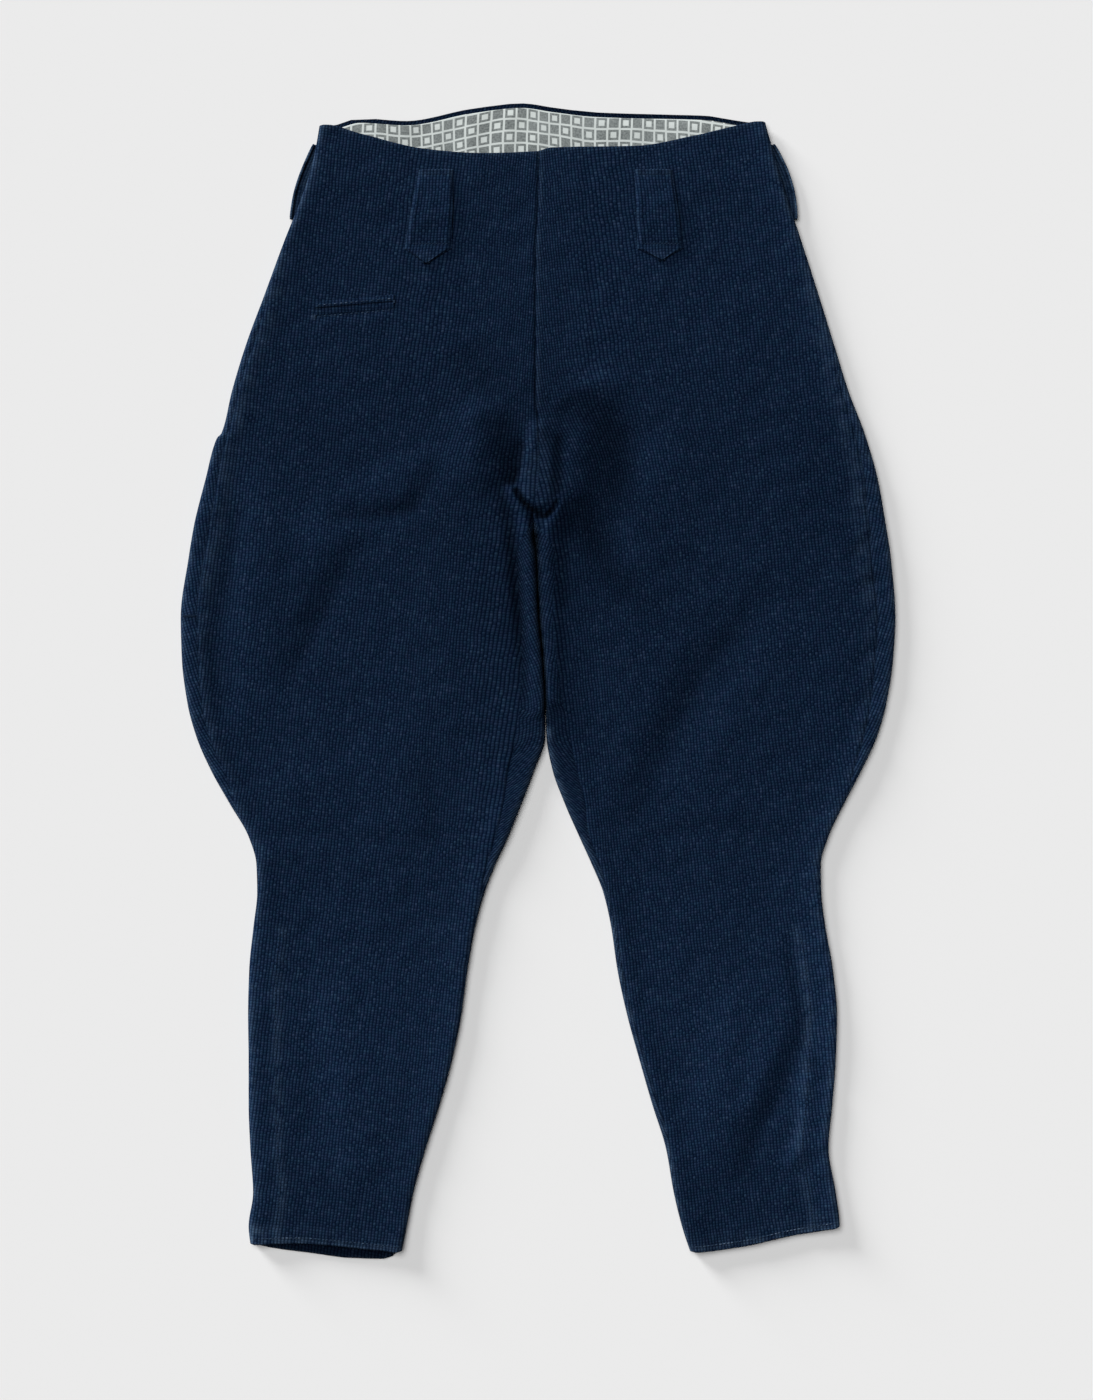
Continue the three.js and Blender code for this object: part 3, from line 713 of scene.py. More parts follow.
    def fly(self, x: Array, y: Array) -> Array:
        """The lap of the left front over the right one, and the edge of the cloth under it.

        Args:
            x: Places across.
            y: Places along.

        Returns:
            One height for each place.
        """
        past = x - along(MIDLINE, y)
        here = step(y, *FLY.starts)
        groove = FLY.groove.at(past) * here
        if self.side < 0:
            return groove
        lap = FLY.lap * np.exp(-np.abs(past) / FLY.lap_width) * here
        distance, side, _ = nearest(x, y, FLY_SHIELD)
        raised = step(-side * distance, *FLY.shield_edge) * (x < FLY.shield_reach)
        shield = FLY.shield * raised * step(y, *FLY.shield_starts)
        return groove + lap + shield + FLY.shield_groove.at(distance)

    def hem(self, x: Array, y: Array) -> Array:
        """The doubled cloth of the hem, drawn in by its stitches.

        Args:
            x: Places across.
            y: Places along.

        Returns:
            One height for each place.
        """
        above = y - along(HEM_FRONT, x)
        doubled = HEM.rise * (1 - step(above, *HEM.edge))
        pull = HEM.pull.at(x, y * HEM.stretch) * bump(above - HEM_BAND, HEM.pull_width)
        return (doubled + pull) * (y < HEM_Y + HEM_REACH)

    def floor(self, x: Array, y: Array) -> Array:
        """Height of the face that lies on the floor, or on the belt loop trapped under it.

        Args:
            x: Places across.
            y: Places along.

        Returns:
            One height for each place.
        """
        turned, loop = self.turned(x, y), SIDE_LOOP
        across = (self.past_outer(x, y) - (loop.width + loop.clear_across)) / loop.ease_across
        below = (loop.foot - loop.clear_below - y) / loop.ease_below
        away = np.maximum(np.maximum(across, below), 0)
        lift = loop.lift * np.maximum(1 - away, 0)
        return ROLL_MIDDLE * (1 - turned) + lift * turned

    def fade(self, x: Array, y: Array) -> Array:
        """How far the dye has faded, with painted shade added: ridges and edges are paler from
        fading, while hollows, creases, seam grooves, the slit and the sides of the belt loops are
        darkened as painted shade.

        Args:
            x: Places across.
            y: Places along.

        Returns:
            One value for each place, 0 where the colour isn't changed.
        """
        region = along(TONE_ALONG_LEGS, y) + TONE_AND_SHADE.left_seat * (self.side > 0) * step(y, *SEAT_PALER)
        # Painted shade from the marks table, with its patches of tone.
        region = region + sum(shade.height(x, y) for shade in PAINTED_SHADE_AND_TONE)
        edges = TONE_AND_SHADE.outer_edge.at(self.past_outer(x, y))
        edges = edges + TONE_AND_SHADE.calf_edge.at(self.to_edge(x, y)) * (y < CALF_TOP_Y)
        # Painted shade in the folds' troughs and creases, and fading on their ridges, following the
        # fold height.
        relief = np.minimum(np.tanh(self.folds(x, y) / TONE_AND_SHADE.fold_height) * TONE_AND_SHADE.fold, TONE_AND_SHADE.ridge_limit)
        # Painted shade along the inseam's groove from the knees down, and along the fly's edge.
        seam = TONE_AND_SHADE.inseam.at(self.past_inside(x, y)) * (1 - step(y, *SLIT_CLOSED))
        seam = seam + TONE_AND_SHADE.centre_seam_shade.at(x - along(MIDLINE, y)) * step(y, *TONE_AND_SHADE.centre_starts)
        # Painted shade in the slit between the thighs.
        slit_shade = SLIT.slit_shade * self.in_slit(x, y)
        return relief + region + edges - seam - slit_shade - self.painted_loop_shadow(x, y)

    def in_slit(self, x: Array, y: Array) -> Array:
        """1 at the slit between the thighs, 0 away from it."""
        closed = step(y, *SLIT.foot) * (1 - step(y, *SLIT.top))
        return bump(x - self.inner(y), SLIT.width + SLIT.wider.at(y)) * closed

    def painted_loop_shadow(self, x: Array, y: Array) -> Array:
        """Painted shadow along the two sides of the front's belt loop: how much darker the front is
        there.

        Args:
            x: Places across.
            y: Places along.

        Returns:
            One value for each place.
        """
        middle, width = self.loop_at(y)
        top, shoulder, tip = self.loop_places
        within = step(y, tip - TONE_AND_SHADE.loop_foot, shoulder) * (1 - step(y, top, top + TONE_AND_SHADE.loop_top))
        return TONE_AND_SHADE.painted_loop_shadow.at(np.abs(x - middle) - width / 2) * within

    def wear(self, x: Array, y: Array) -> Array:
        """Where the cloth is rubbed: along edges, seams, the waist and the hem; along the edge of
        the fly's lap the rubbed colour is partly a painted highlight.

        Args:
            x: Places across.
            y: Places along.

        Returns:
            One value for each place, 0 where it isn't rubbed.
        """
        past_side = self.past_side(x, y)
        edge = np.where(y > KNEE_Y, self.past_outer(x, y), self.to_edge(x, y))
        shown = step(y, *RUBBED.allowance_foot) * (1 - step(y, *RUBBED.allowance_top))
        total = (RUBBED.left_edge if self.side > 0 else RUBBED.right_edge).at(edge)
        total = total + RUBBED.side_seam.at(past_side) + RUBBED.allowance.at(past_side) * shown
        hem = np.abs(y - along(HEM_FRONT, x))
        hem_worn = np.minimum(RUBBED.hem_edge.at(hem) + RUBBED.hem_stitches.at(hem), 1)
        total = total + RUBBED.hem * hem_worn + RUBBED.waist.at(y - along(WAIST_FRONT, x))
        total = total + STRIP.wear * self.placket_ridge(x, y, STRIP.wear_width)
        # Along the fly's lap: partly wear, partly a painted highlight.
        lap_wear_and_highlight = RUBBED.lap.at(x - along(MIDLINE, y)) * step(y, *RUBBED.lap_starts)
        total = total + lap_wear_and_highlight * (self.side > 0) + sum(spot.at(x, y) for spot in RUBBED.spots)
        nub = NUB.height(x, y) / NUB.rise
        return total * (1 - self.in_slit(x, y)) + RUBBED.nub * nub


RIGHT = Leg("right", -1, RIGHT_SECTIONS, RIGHT_LOOP_ROWS)
LEFT = Leg("left", 1, LEFT_SECTIONS, LEFT_LOOP_ROWS)


# ---------------------------------------------------------------- shader nodes and finishes

# Parts of a noise's values, from 0 to 1, over which a material changes.
MOST = (0.25, 0.75)
SOME = (0.3, 0.7)
MIDDLE = (0.35, 0.65)


class Tree:
    """Adds nodes to a shader tree and links them."""

    def __init__(self, tree: bpy.types.NodeTree) -> None:
        """Starts on an empty or a filled tree."""
        self.tree = tree

    def node(self, kind: str, **settings: object) -> bpy.types.Node:
        """Adds a node and sets its properties.

        Args:
            kind: The node's type.
            **settings: Its properties by name.

        Returns:
            The new node.
        """
        node = self.tree.nodes.new(kind)
        for name, value in settings.items():
            setattr(node, name, value)
        return node

    def feed(self, socket: bpy.types.NodeSocket, value: object) -> None:
        """Links a socket to another, or sets it.

        Args:
            socket: The socket to feed.
            value: Another socket, or a value.
        """
        if isinstance(value, bpy.types.NodeSocket):
            self.tree.links.new(value, socket)
        else:
            socket.default_value = value

    def bump(self, shader: bpy.types.Node, height: object, strength: float, size: float) -> None:
        """Gives a shader fine relief.

        Args:
            shader: The shader node.
            height: The relief, from 0 to 1.
            strength: How much of it shows.
            size: Its real height in millimetres.
        """
        relief = self.node("ShaderNodeBump")
        relief.inputs["Strength"].default_value = strength
        relief.inputs["Distance"].default_value = size * MM
        self.feed(relief.inputs["Height"], height)
        self.feed(shader.inputs["Normal"], relief.outputs[0])

    def math(self, operation: str, *values: object) -> bpy.types.NodeSocket:
        """Result of a Math node on sockets or numbers.

        Args:
            operation: The node's operation.
            *values: Its inputs, sockets or numbers.

        Returns:
            The result's socket.
        """
        node = self.node("ShaderNodeMath", operation=operation)
        for socket, value in zip(node.inputs, values):
            self.feed(socket, value)
        return node.outputs[0]

    def mix(
        self, amount: object, start: object, end: object, blend: str = "MIX",
    ) -> bpy.types.NodeSocket:
        """Colour between two colours.

        Args:
            amount: How much of the second colour shows.
            start: The first colour.
            end: The second colour.
            blend: How the two are blended.

        Returns:
            The mixed colour's socket.
        """
        node = self.node("ShaderNodeMix", data_type="RGBA", blend_type=blend)
        for name, value in (("Factor_Float", amount), ("A_Color", start), ("B_Color", end)):
            self.feed(next(s for s in node.inputs if s.identifier == name), value)
        return next(s for s in node.outputs if s.identifier == "Result_Color")

    def noise(self, vector: object, scale: float, detail: float = 2.0) -> bpy.types.Node:
        """A Noise node on a vector.

        Args:
            vector: Where it is read.
            scale: Its waves in one unit of the vector.
            detail: How many finer layers it has.

        Returns:
            The new node.
        """
        node = self.node("ShaderNodeTexNoise")
        self.feed(node.inputs["Vector"], vector)
        self.feed(node.inputs["Scale"], scale)
        self.feed(node.inputs["Detail"], detail)
        return node

    def attribute(self, name: str, output: str = "Fac") -> bpy.types.NodeSocket:
        """Value of the piece's own attribute."""
        return self.node("ShaderNodeAttribute", attribute_name=name).outputs[output]

    def remap(
        self, value: object, low: float, high: float, start: float, end: float,
    ) -> bpy.types.NodeSocket:
        """Smooth change from start at low to end at high.

        Args:
            value: What is read.
            low: Where the change starts.
            high: Where it ends.
            start: The result up to low.
            end: The result from high on.

        Returns:
            The result's socket.
        """
        node = self.node("ShaderNodeMapRange", interpolation_type="SMOOTHSTEP")
        for socket, number in zip(node.inputs, (value, low, high, start, end)):
            self.feed(socket, number)
        return node.outputs[0]


class Group:
    """A shader node group that several finishes share."""

    def __init__(self, name: str, inputs: dict[str, str], outputs: tuple[str, ...]) -> None:
        """Makes the group with its sockets.

        Args:
            name: The group's name.
            inputs: Socket kinds by name.
            outputs: Names of the values it puts out.
        """
        self.tree = bpy.data.node_groups.new(name, "ShaderNodeTree")
        for key, kind in inputs.items():
            self.tree.interface.new_socket(key, in_out="INPUT", socket_type=kind)
        for key in outputs:
            self.tree.interface.new_socket(key, in_out="OUTPUT", socket_type="NodeSocketFloat")
        self.make = Tree(self.tree)
        self.given = self.make.node("NodeGroupInput").outputs
        self.result = self.make.node("NodeGroupOutput").inputs

    def place(self, into: Tree, **values: object) -> bpy.types.Node:
        """Puts the group in a material with its own values.

        Args:
            into: The material's tree.
            **values: Its inputs by name, with an underscore for a space.

        Returns:
            The group's node.
        """
        node = into.node("ShaderNodeGroup", node_tree=self.tree)
        for name, value in values.items():
            into.feed(node.inputs[name.replace("_", " ")], value)
        return node


@dataclass(frozen=True)
class WeaveShape:
    """How uneven the weave is: noise scales per millimetre, the rest in parts of a dot."""

    drift_scale: float = 0.045
    drift: float = 3.0  # in millimetres
    rib_power: float = 1.3
    bead_power: float = 1.5
    bead: float = 0.64
    between_beads: float = 0.38
    chance_power: float = 3.0
    swing_scale: float = 0.09
    swing: float = 0.95
    fuzz_scale: float = 2.2
    fuzz: float = 0.35
    rare: float = 0.90
    speck_power: float = 2.5


def weave_group(shape: WeaveShape = WeaveShape()) -> Group:
    """Beaded ribs of a dobby weave: rows of raised thread dots with uneven dye.

    Args:
        shape: Its sizes.

    Returns:
        The new group.
    """
    kinds = {"Vector": "NodeSocketVector", "Across": "NodeSocketFloat", "Along": "NodeSocketFloat"}
    group = Group("Dobby weave", kinds, ("Dots", "Specks", "Height"))
    make, given = group.make, group.given
    drift = make.node("ShaderNodeSeparateXYZ")
    make.feed(drift.inputs[0], make.noise(given["Vector"], shape.drift_scale).outputs["Color"])
    split = make.node("ShaderNodeSeparateXYZ")
    make.feed(split.inputs[0], given["Vector"])
    cell = make.node("ShaderNodeCombineXYZ")
    number, waves = [], []
    for axis, pitch in enumerate(("Across", "Along")):
        place = make.math("MULTIPLY_ADD", drift.outputs[axis], shape.drift, split.outputs[axis])
        place = make.math("DIVIDE", place, given[pitch])
        number.append(make.math("FLOOR", place))
        make.feed(cell.inputs[axis], number[axis])
        waves.append(make.math("SINE", make.math("MULTIPLY", make.math("FRACT", place), math.pi)))
    chance = make.node("ShaderNodeTexWhiteNoise", noise_dimensions="2D")
    make.feed(chance.inputs["Vector"], cell.outputs[0])
    rib = make.math("POWER", waves[0], shape.rib_power)
    bead = make.math("POWER", waves[1], shape.bead_power)
    bead = make.math("MULTIPLY_ADD", bead, shape.bead, shape.between_beads)
    height = make.math("MULTIPLY", rib, bead)
    level = make.math("POWER", chance.outputs["Value"], shape.chance_power)
    level = make.math("ADD", level, 1.0)
    odd = make.math("FLOORED_MODULO", make.math("ADD", *number), 2.0)
    odd = make.math("SUBTRACT", odd, 0.5)
    swing = make.noise(given["Vector"], shape.swing_scale, 1.0).outputs[0]
    swing = make.remap(swing, *SOME, -shape.swing, shape.swing)
    level = make.math("MULTIPLY_ADD", odd, swing, level)
    fuzz = make.noise(given["Vector"], shape.fuzz_scale).outputs[0]
    level = make.math("ADD", level, make.remap(fuzz, *MOST, -shape.fuzz, shape.fuzz))
    make.feed(group.result["Dots"], make.math("MULTIPLY", height, level))
    rare = make.remap(chance.outputs["Value"], shape.rare, 1.0, 0.0, 1.0)
    specks = make.math("MULTIPLY", rare, make.math("POWER", height, shape.speck_power))
    make.feed(group.result["Specks"], specks)
    make.feed(group.result["Height"], height)
    return group


@dataclass(frozen=True)
class RubbingShape:
    """How a rubbed place breaks up: a noise scale per millimetre, and shares from 0 to 1."""

    scale: float = 0.09
    low: float = 0.35
    high: float = 0.68
    least: float = 0.1
    on_dots: float = 0.9
    between_dots: float = 0.15


def rubbing_group(shape: RubbingShape = RubbingShape()) -> Group:
    """Broken-up mask of the places where raised threads are rubbed pale.

    Args:
        shape: Its sizes.

    Returns:
        The new group.
    """
    kinds = {"Vector": "NodeSocketVector", "Wear": "NodeSocketFloat", "Dots": "NodeSocketFloat"}
    group = Group("Rubbing", kinds, ("Mask",))
    make, given = group.make, group.given
    patch = make.noise(given["Vector"], shape.scale, 3.0).outputs[0]
    patch = make.remap(patch, shape.low, shape.high, shape.least, 1.0)
    raised = make.math("MULTIPLY_ADD", given["Dots"], shape.on_dots, shape.between_dots)
    mask = make.math("MULTIPLY", make.math("MULTIPLY", given["Wear"], patch), raised)
    make.feed(group.result["Mask"], make.math("MINIMUM", mask, 1.0))
    return group


@dataclass(frozen=True)
class CheckShape:
    """Half sizes of the printed squares, in parts of the check's pitch."""

    filled: float = 0.38
    outline: float = 0.41
    hollow: float = 0.22
    soft: float = 0.04


def check_group(shape: CheckShape = CheckShape()) -> Group:
    """A small printed check: filled squares in turn with outlined ones.

    Args:
        shape: Its sizes.

    Returns:
        The new group.
    """
    kinds = {"Vector": "NodeSocketVector", "Pitch": "NodeSocketFloat"}
    group = Group("Small check", kinds, ("Ink",))
    make, given = group.make, group.given
    split = make.node("ShaderNodeSeparateXYZ")
    make.feed(split.inputs[0], given["Vector"])
    cells, reach = [], []
    for axis in (0, 1):
        place = make.math("DIVIDE", split.outputs[axis], given["Pitch"])
        cells.append(make.math("FLOOR", place))
        reach.append(make.math("ABSOLUTE", make.math("SUBTRACT", make.math("FRACT", place), 0.5)))
    away = make.math("MAXIMUM", *reach)
    odd = make.math("FLOORED_MODULO", make.math("ADD", *cells), 2.0)
    filled = make.remap(away, shape.filled, shape.filled + shape.soft, 1.0, 0.0)
    outline = make.remap(away, shape.outline, shape.outline + shape.soft, 1.0, 0.0)
    hollow = make.remap(away, shape.hollow, shape.hollow + shape.soft, 0.0, 1.0)
    outlined = make.math("MULTIPLY", outline, hollow)
    filled = make.math("MULTIPLY", filled, odd)
    outlined = make.math("MULTIPLY", outlined, make.math("SUBTRACT", 1.0, odd))
    make.feed(group.result["Ink"], make.math("ADD", filled, outlined))
    return group


Colour = tuple[float, float, float, float]


def new_material(name: str) -> tuple[bpy.types.Material, Tree, bpy.types.Node]:
    """An empty material with a Principled shader.

    Args:
        name: The material's name.

    Returns:
        The material, its tree and the shader node.
    """
    material = bpy.data.materials.new(name)
    material.use_nodes = True
    material.node_tree.nodes.clear()
    tree = Tree(material.node_tree)
    shader = tree.node("ShaderNodeBsdfPrincipled")
    output = tree.node("ShaderNodeOutputMaterial")
    tree.feed(output.inputs["Surface"], shader.outputs[0])
    return material, tree, shader


@dataclass(frozen=True)
class DobbyFinish:
    """Thick indigo cotton with raised rows of paler dots; sizes in millimetres."""

    name: str
    ground: Colour = (0.0004, 0.0031, 0.0128, 1)
    thread: Colour = (0.0098, 0.0224, 0.0486, 1)
    rubbed: Colour = (0.042, 0.073, 0.122, 1)
    greenish: Colour = (0.9, 1.02, 0.99, 1)
    purplish: Colour = (1.13, 0.98, 1.02, 1)
    across: float = 2.96
    length: float = 2.49
    turn: float = 0.0
    specks: float = 0.36
    mottle_scale: float = 0.028
    mottle: float = 0.04
    tint_scale: float = 0.16
    contrast: float = 0.62
    darkest: float = 0.05
    roughness: float = 0.92
    dots_smoother: float = -0.06
    specular: float = 0.012
    relief: float = 0.75
    relief_height: float = 0.5

    def material(self, weave: Group, rubbing: Group) -> bpy.types.Material:
        """Builds the material.

        Args:
            weave: The shared weave.
            rubbing: The shared mask of rubbed places.

        Returns:
            The finished material.
        """
        material, tree, shader = new_material(self.name)
        turned = tree.node("ShaderNodeMapping")
        tree.feed(turned.inputs["Vector"], tree.node("ShaderNodeUVMap", uv_map="Grain").outputs[0])
        turned.inputs["Rotation"].default_value = (0, 0, self.turn)
        grain = turned.outputs[0]
        cloth = weave.place(tree, Vector=grain, Across=self.across, Along=self.length)
        dots, height = cloth.outputs["Dots"], cloth.outputs["Height"]
        colour = tree.mix(dots, self.ground, self.thread)
        specks = tree.math("MULTIPLY", cloth.outputs["Specks"], self.specks)
        colour = tree.mix(specks, colour, self.rubbed)
        mottle = tree.noise(grain, self.mottle_scale, 4.0).outputs[0]
        mottle = tree.remap(mottle, *SOME, -self.mottle, self.mottle)
        # The attribute holds the dye's fading together with the legs' painted shade; it scales the
        # colour.
        tone = tree.math("ADD", tree.attribute("fade"), mottle)
        lift = tree.math("MULTIPLY_ADD", tone, self.contrast, 1.0)
        lift = tree.math("MAXIMUM", lift, self.darkest)
        grey = tree.node("ShaderNodeCombineXYZ")
        for socket in grey.inputs:
            tree.feed(socket, lift)
        colour = tree.mix(1.0, colour, grey.outputs[0], "MULTIPLY")
        patch = tree.remap(tree.noise(grain, self.tint_scale).outputs[0], *MIDDLE, 0.0, 1.0)
        tint = tree.mix(patch, self.greenish, self.purplish)
        colour = tree.mix(1.0, colour, tint, "MULTIPLY")
        worn = rubbing.place(tree, Vector=grain, Wear=tree.attribute("wear"), Dots=height)
        colour = tree.mix(worn.outputs["Mask"], colour, self.rubbed)
        tree.feed(shader.inputs["Base Color"], colour)
        roughness = tree.math("MULTIPLY_ADD", dots, self.dots_smoother, self.roughness)
        tree.feed(shader.inputs["Roughness"], roughness)
        shader.inputs["Specular IOR Level"].default_value = self.specular
        tree.bump(shader, height, self.relief, self.relief_height)
        return material


@dataclass(frozen=True)
class PrintedFinish:
    """Smooth pale cotton with a small grey check; sizes in millimetres."""

    name: str = "Printed facing"
    paper: Colour = (0.59, 0.635, 0.62, 1)
    ink: Colour = (0.095, 0.11, 0.11, 1)
    soil: Colour = (0.38, 0.42, 0.42, 1)
    pitch: float = 10.5
    ink_scale: float = 0.6
    thinnest: float = 0.7
    soil_scale: float = 0.03
    most_soil: float = 0.18
    threads_scale: float = 3.0
    roughness: float = 0.85
    threads_smoother: float = 0.06
    specular: float = 0.2
    relief: float = 0.3
    relief_height: float = 0.15

    def material(self, check: Group) -> bpy.types.Material:
        """Builds the material with the shared check.

        Args:
            check: The shared check.

        Returns:
            The finished material.
        """
        material, tree, shader = new_material(self.name)
        grain = tree.node("ShaderNodeUVMap", uv_map="Grain").outputs[0]
        squares = check.place(tree, Vector=grain, Pitch=self.pitch).outputs["Ink"]
        thin = tree.noise(grain, self.ink_scale, 3.0).outputs[0]
        thin = tree.remap(thin, *MOST, self.thinnest, 1.0)
        colour = tree.mix(tree.math("MULTIPLY", squares, thin), self.paper, self.ink)
        soiled = tree.noise(grain, self.soil_scale, 3.0).outputs[0]
        soiled = tree.remap(soiled, *SOME, 0.0, self.most_soil)
        tree.feed(shader.inputs["Base Color"], tree.mix(soiled, colour, self.soil))
        threads = tree.noise(grain, self.threads_scale).outputs[0]
        smoothest = self.roughness - self.threads_smoother
        roughness = tree.remap(threads, *SOME, smoothest, self.roughness)
        tree.feed(shader.inputs["Roughness"], roughness)
        shader.inputs["Specular IOR Level"].default_value = self.specular
        tree.bump(shader, threads, self.relief, self.relief_height)
        return material


@dataclass(frozen=True)
class ThreadFinish:
    """Indigo sewing thread, twisted, rubbed pale in places; noise scales per metre."""

    name: str = "Sewing thread"
    fresh: Colour = (0.0065, 0.0165, 0.038, 1)
    rubbed: Colour = (0.013, 0.027, 0.056, 1)
    worn_scale: float = 90.0
    worn: tuple[float, float] = (0.5, 0.66)  # parts of the noise's values
    twist_scale: float = 3000.0
    roughness: tuple[float, float] = (0.7, 0.9)
    specular: float = 0.08

    def material(self) -> bpy.types.Material:
        """Builds the material.

        Returns:
            The finished material.
        """
        material, tree, shader = new_material(self.name)
        place = tree.node("ShaderNodeTexCoord").outputs["Object"]
        worn = tree.noise(place, self.worn_scale, 3.0).outputs[0]
        worn = tree.remap(worn, *self.worn, 0.0, 1.0)
        tree.feed(shader.inputs["Base Color"], tree.mix(worn, self.fresh, self.rubbed))
        twist = tree.noise(place, self.twist_scale, 1.0).outputs[0]
        tree.feed(shader.inputs["Roughness"], tree.remap(twist, *SOME, *self.roughness))
        shader.inputs["Specular IOR Level"].default_value = self.specular
        return material


# ---------------------------------------------------------------- cloth meshes

class Hold(Enum):
    """How a sheet of cloth is held."""

    LAID = "laid"
    FOLDED = "folded"


@dataclass
class Sheet:
    """The outer face of one cut of cloth, as a grid of points in millimetres."""

    x: Array
    y: Array
    z: Array
    grain_u: Array
    grain_v: Array
    # fading of the dye, with painted shade added on the legs
    fade: Array
    wear: Array
    flip: bool
    cloth: Array | float = CLOTH
    keep: Array | None = None
    free: Array | bool = True  # points on a folded or hemmed edge, which is rounded
    shift: float = 0.03
    round_out: float = 0.3
    least_mitre: float = 0.6

    def triangles(self) -> Array:
        """Corners of the kept cells' triangles, as numbers in the grid.

        Returns:
            The triangles.
        """
        rows, columns = self.x.shape
        number = np.arange(rows * columns).reshape(rows, columns)
        a, b, c, d = number[:-1, :-1], number[1:, :-1], number[1:, 1:], number[:-1, 1:]
        chosen = np.ones(a.shape, bool) if self.keep is None else self.keep
        cells = [np.stack(corners, -1)[chosen] for corners in ((a, b, c), (a, c, d))]
        faces = np.concatenate(cells)
        return faces[:, ::-1] if self.flip else faces

    def merged(self) -> tuple[Array, Array, Array]:
        """Grid with its doubled points made one.

        Returns:
            The points, the triangles between them, and each point's number in the grid.
        """
        grid = np.stack([self.x.ravel(), self.y.ravel(), self.z.ravel()], 1)
        faces = self.triangles()
        used = np.unique(faces)
        keys = np.round(grid[used], 3)
        _, first, back = np.unique(keys, axis=0, return_index=True, return_inverse=True)
        number = np.full(len(grid), -1)
        number[used] = back.ravel()
        faces = number[faces]
        whole = (faces != np.roll(faces, 1, axis=1)).all(axis=1)
        return grid[used[first]], faces[whole], used[first]

    def make(self, name: str) -> bpy.types.Object:
        """Builds the closed shell with its grain map and attributes.

        Args:
            name: The piece's name.

        Returns:
            The new object, at the origin.
        """
        points, faces, source = self.merged()
        count = len(points)
        normal = face_normals(points, faces)
        turned = np.zeros_like(points)
        for corner in range(3):
            share = corner_angles(points, faces, corner)[:, None]
            np.add.at(turned, faces[:, corner], normal * share)
        turned /= np.maximum(np.linalg.norm(turned, axis=1, keepdims=True), 1e-9)
        edges, inside = open_edges(points, faces, normal)
        border = np.zeros_like(points)
        sides = np.zeros(count)
        for end in (0, 1):
            np.add.at(border, edges[:, end], inside)
            np.add.at(sides, edges[:, end], 1)
        mitre = np.maximum((border**2).sum(1) / np.maximum(sides, 1), self.least_mitre)
        border = border / np.where(sides > 0, mitre, 1)[:, None]
        cloth = np.broadcast_to(np.asarray(self.cloth, float), self.x.shape).ravel()[source]
        free = np.broadcast_to(self.free, self.x.shape).ravel()[source]
        bulge = np.where(free, self.round_out, 0.0) * cloth
        outer = points + border * self.shift
        lower = outer - turned * cloth[:, None]
        rim = (outer + lower) / 2 - border * bulge[:, None]
        below, middle = faces + count, edges + 2 * count
        start, end = edges[:, 0], edges[:, 1]
        walls = [
            np.stack([end, start, middle[:, 0]], 1), np.stack([end, middle[:, 0], middle[:, 1]], 1),
            np.stack([middle[:, 1], middle[:, 0], start + count], 1),
            np.stack([middle[:, 1], start + count, end + count], 1),
        ]
        corners = np.concatenate([faces, below[:, ::-1], *walls])
        place = np.concatenate([outer, lower, rim])
        used, numbers = np.unique(corners, return_inverse=True)
        grain = np.stack([self.grain_u.ravel()[source], self.grain_v.ravel()[source]], 1)
        values = {"fade": self.fade.ravel()[source], "wear": self.wear.ravel()[source]}
        seams = edges[~free[edges].all(axis=1)]
        piece = mesh_object(
            name, place[used], numbers.reshape(corners.shape).tolist(),
            np.tile(grain, (3, 1))[used],
            {key: np.tile(value, 3)[used] for key, value in values.items()},
        )
        sharpen(piece.data, np.searchsorted(used, seams))
        return piece


def face_normals(points: Array, faces: Array) -> Array:
    """Unit normals of triangles.

    Args:
        points: The points.
        faces: The triangles.

    Returns:
        One unit normal for each triangle.
    """
    a, b, c = (points[faces[:, k]] for k in range(3))
    normal = np.cross(b - a, c - a)
    return normal / np.maximum(np.linalg.norm(normal, axis=1, keepdims=True), 1e-12)


def corner_angles(points: Array, faces: Array, corner: int) -> Array:
    """Angles of triangles at one of their corners.

    Args:
        points: The points.
        faces: The triangles.
        corner: Which of their corners, from 0 to 2.

    Returns:
        One angle for each triangle.
    """
    at, following, other = (points[faces[:, (corner + k) % 3]] for k in range(3))
    one, two = following - at, other - at
    size = np.linalg.norm(one, axis=1) * np.linalg.norm(two, axis=1)
    return np.arccos(np.clip((one * two).sum(1) / np.maximum(size, 1e-12), -1, 1))


def open_edges(points: Array, faces: Array, normal: Array) -> tuple[Array, Array]:
    """Edges that only one triangle has.

    Args:
        points: The points.
        faces: The triangles.
        normal: Their unit normals.

    Returns:
        The two ends of each open edge, and the unit direction from it into the cloth.
    """
    count = len(points)
    edges = np.concatenate([faces[:, [k, (k + 1) % 3]] for k in range(3)])
    owner = np.tile(np.arange(len(faces)), 3)
    code = edges[:, 0] * count + edges[:, 1]
    lone = ~np.isin(code, edges[:, 1] * count + edges[:, 0])
    edges, owner = edges[lone], owner[lone]
    inside = np.cross(normal[owner], points[edges[:, 1]] - points[edges[:, 0]])
    return edges, inside / np.maximum(np.linalg.norm(inside, axis=1, keepdims=True), 1e-12)


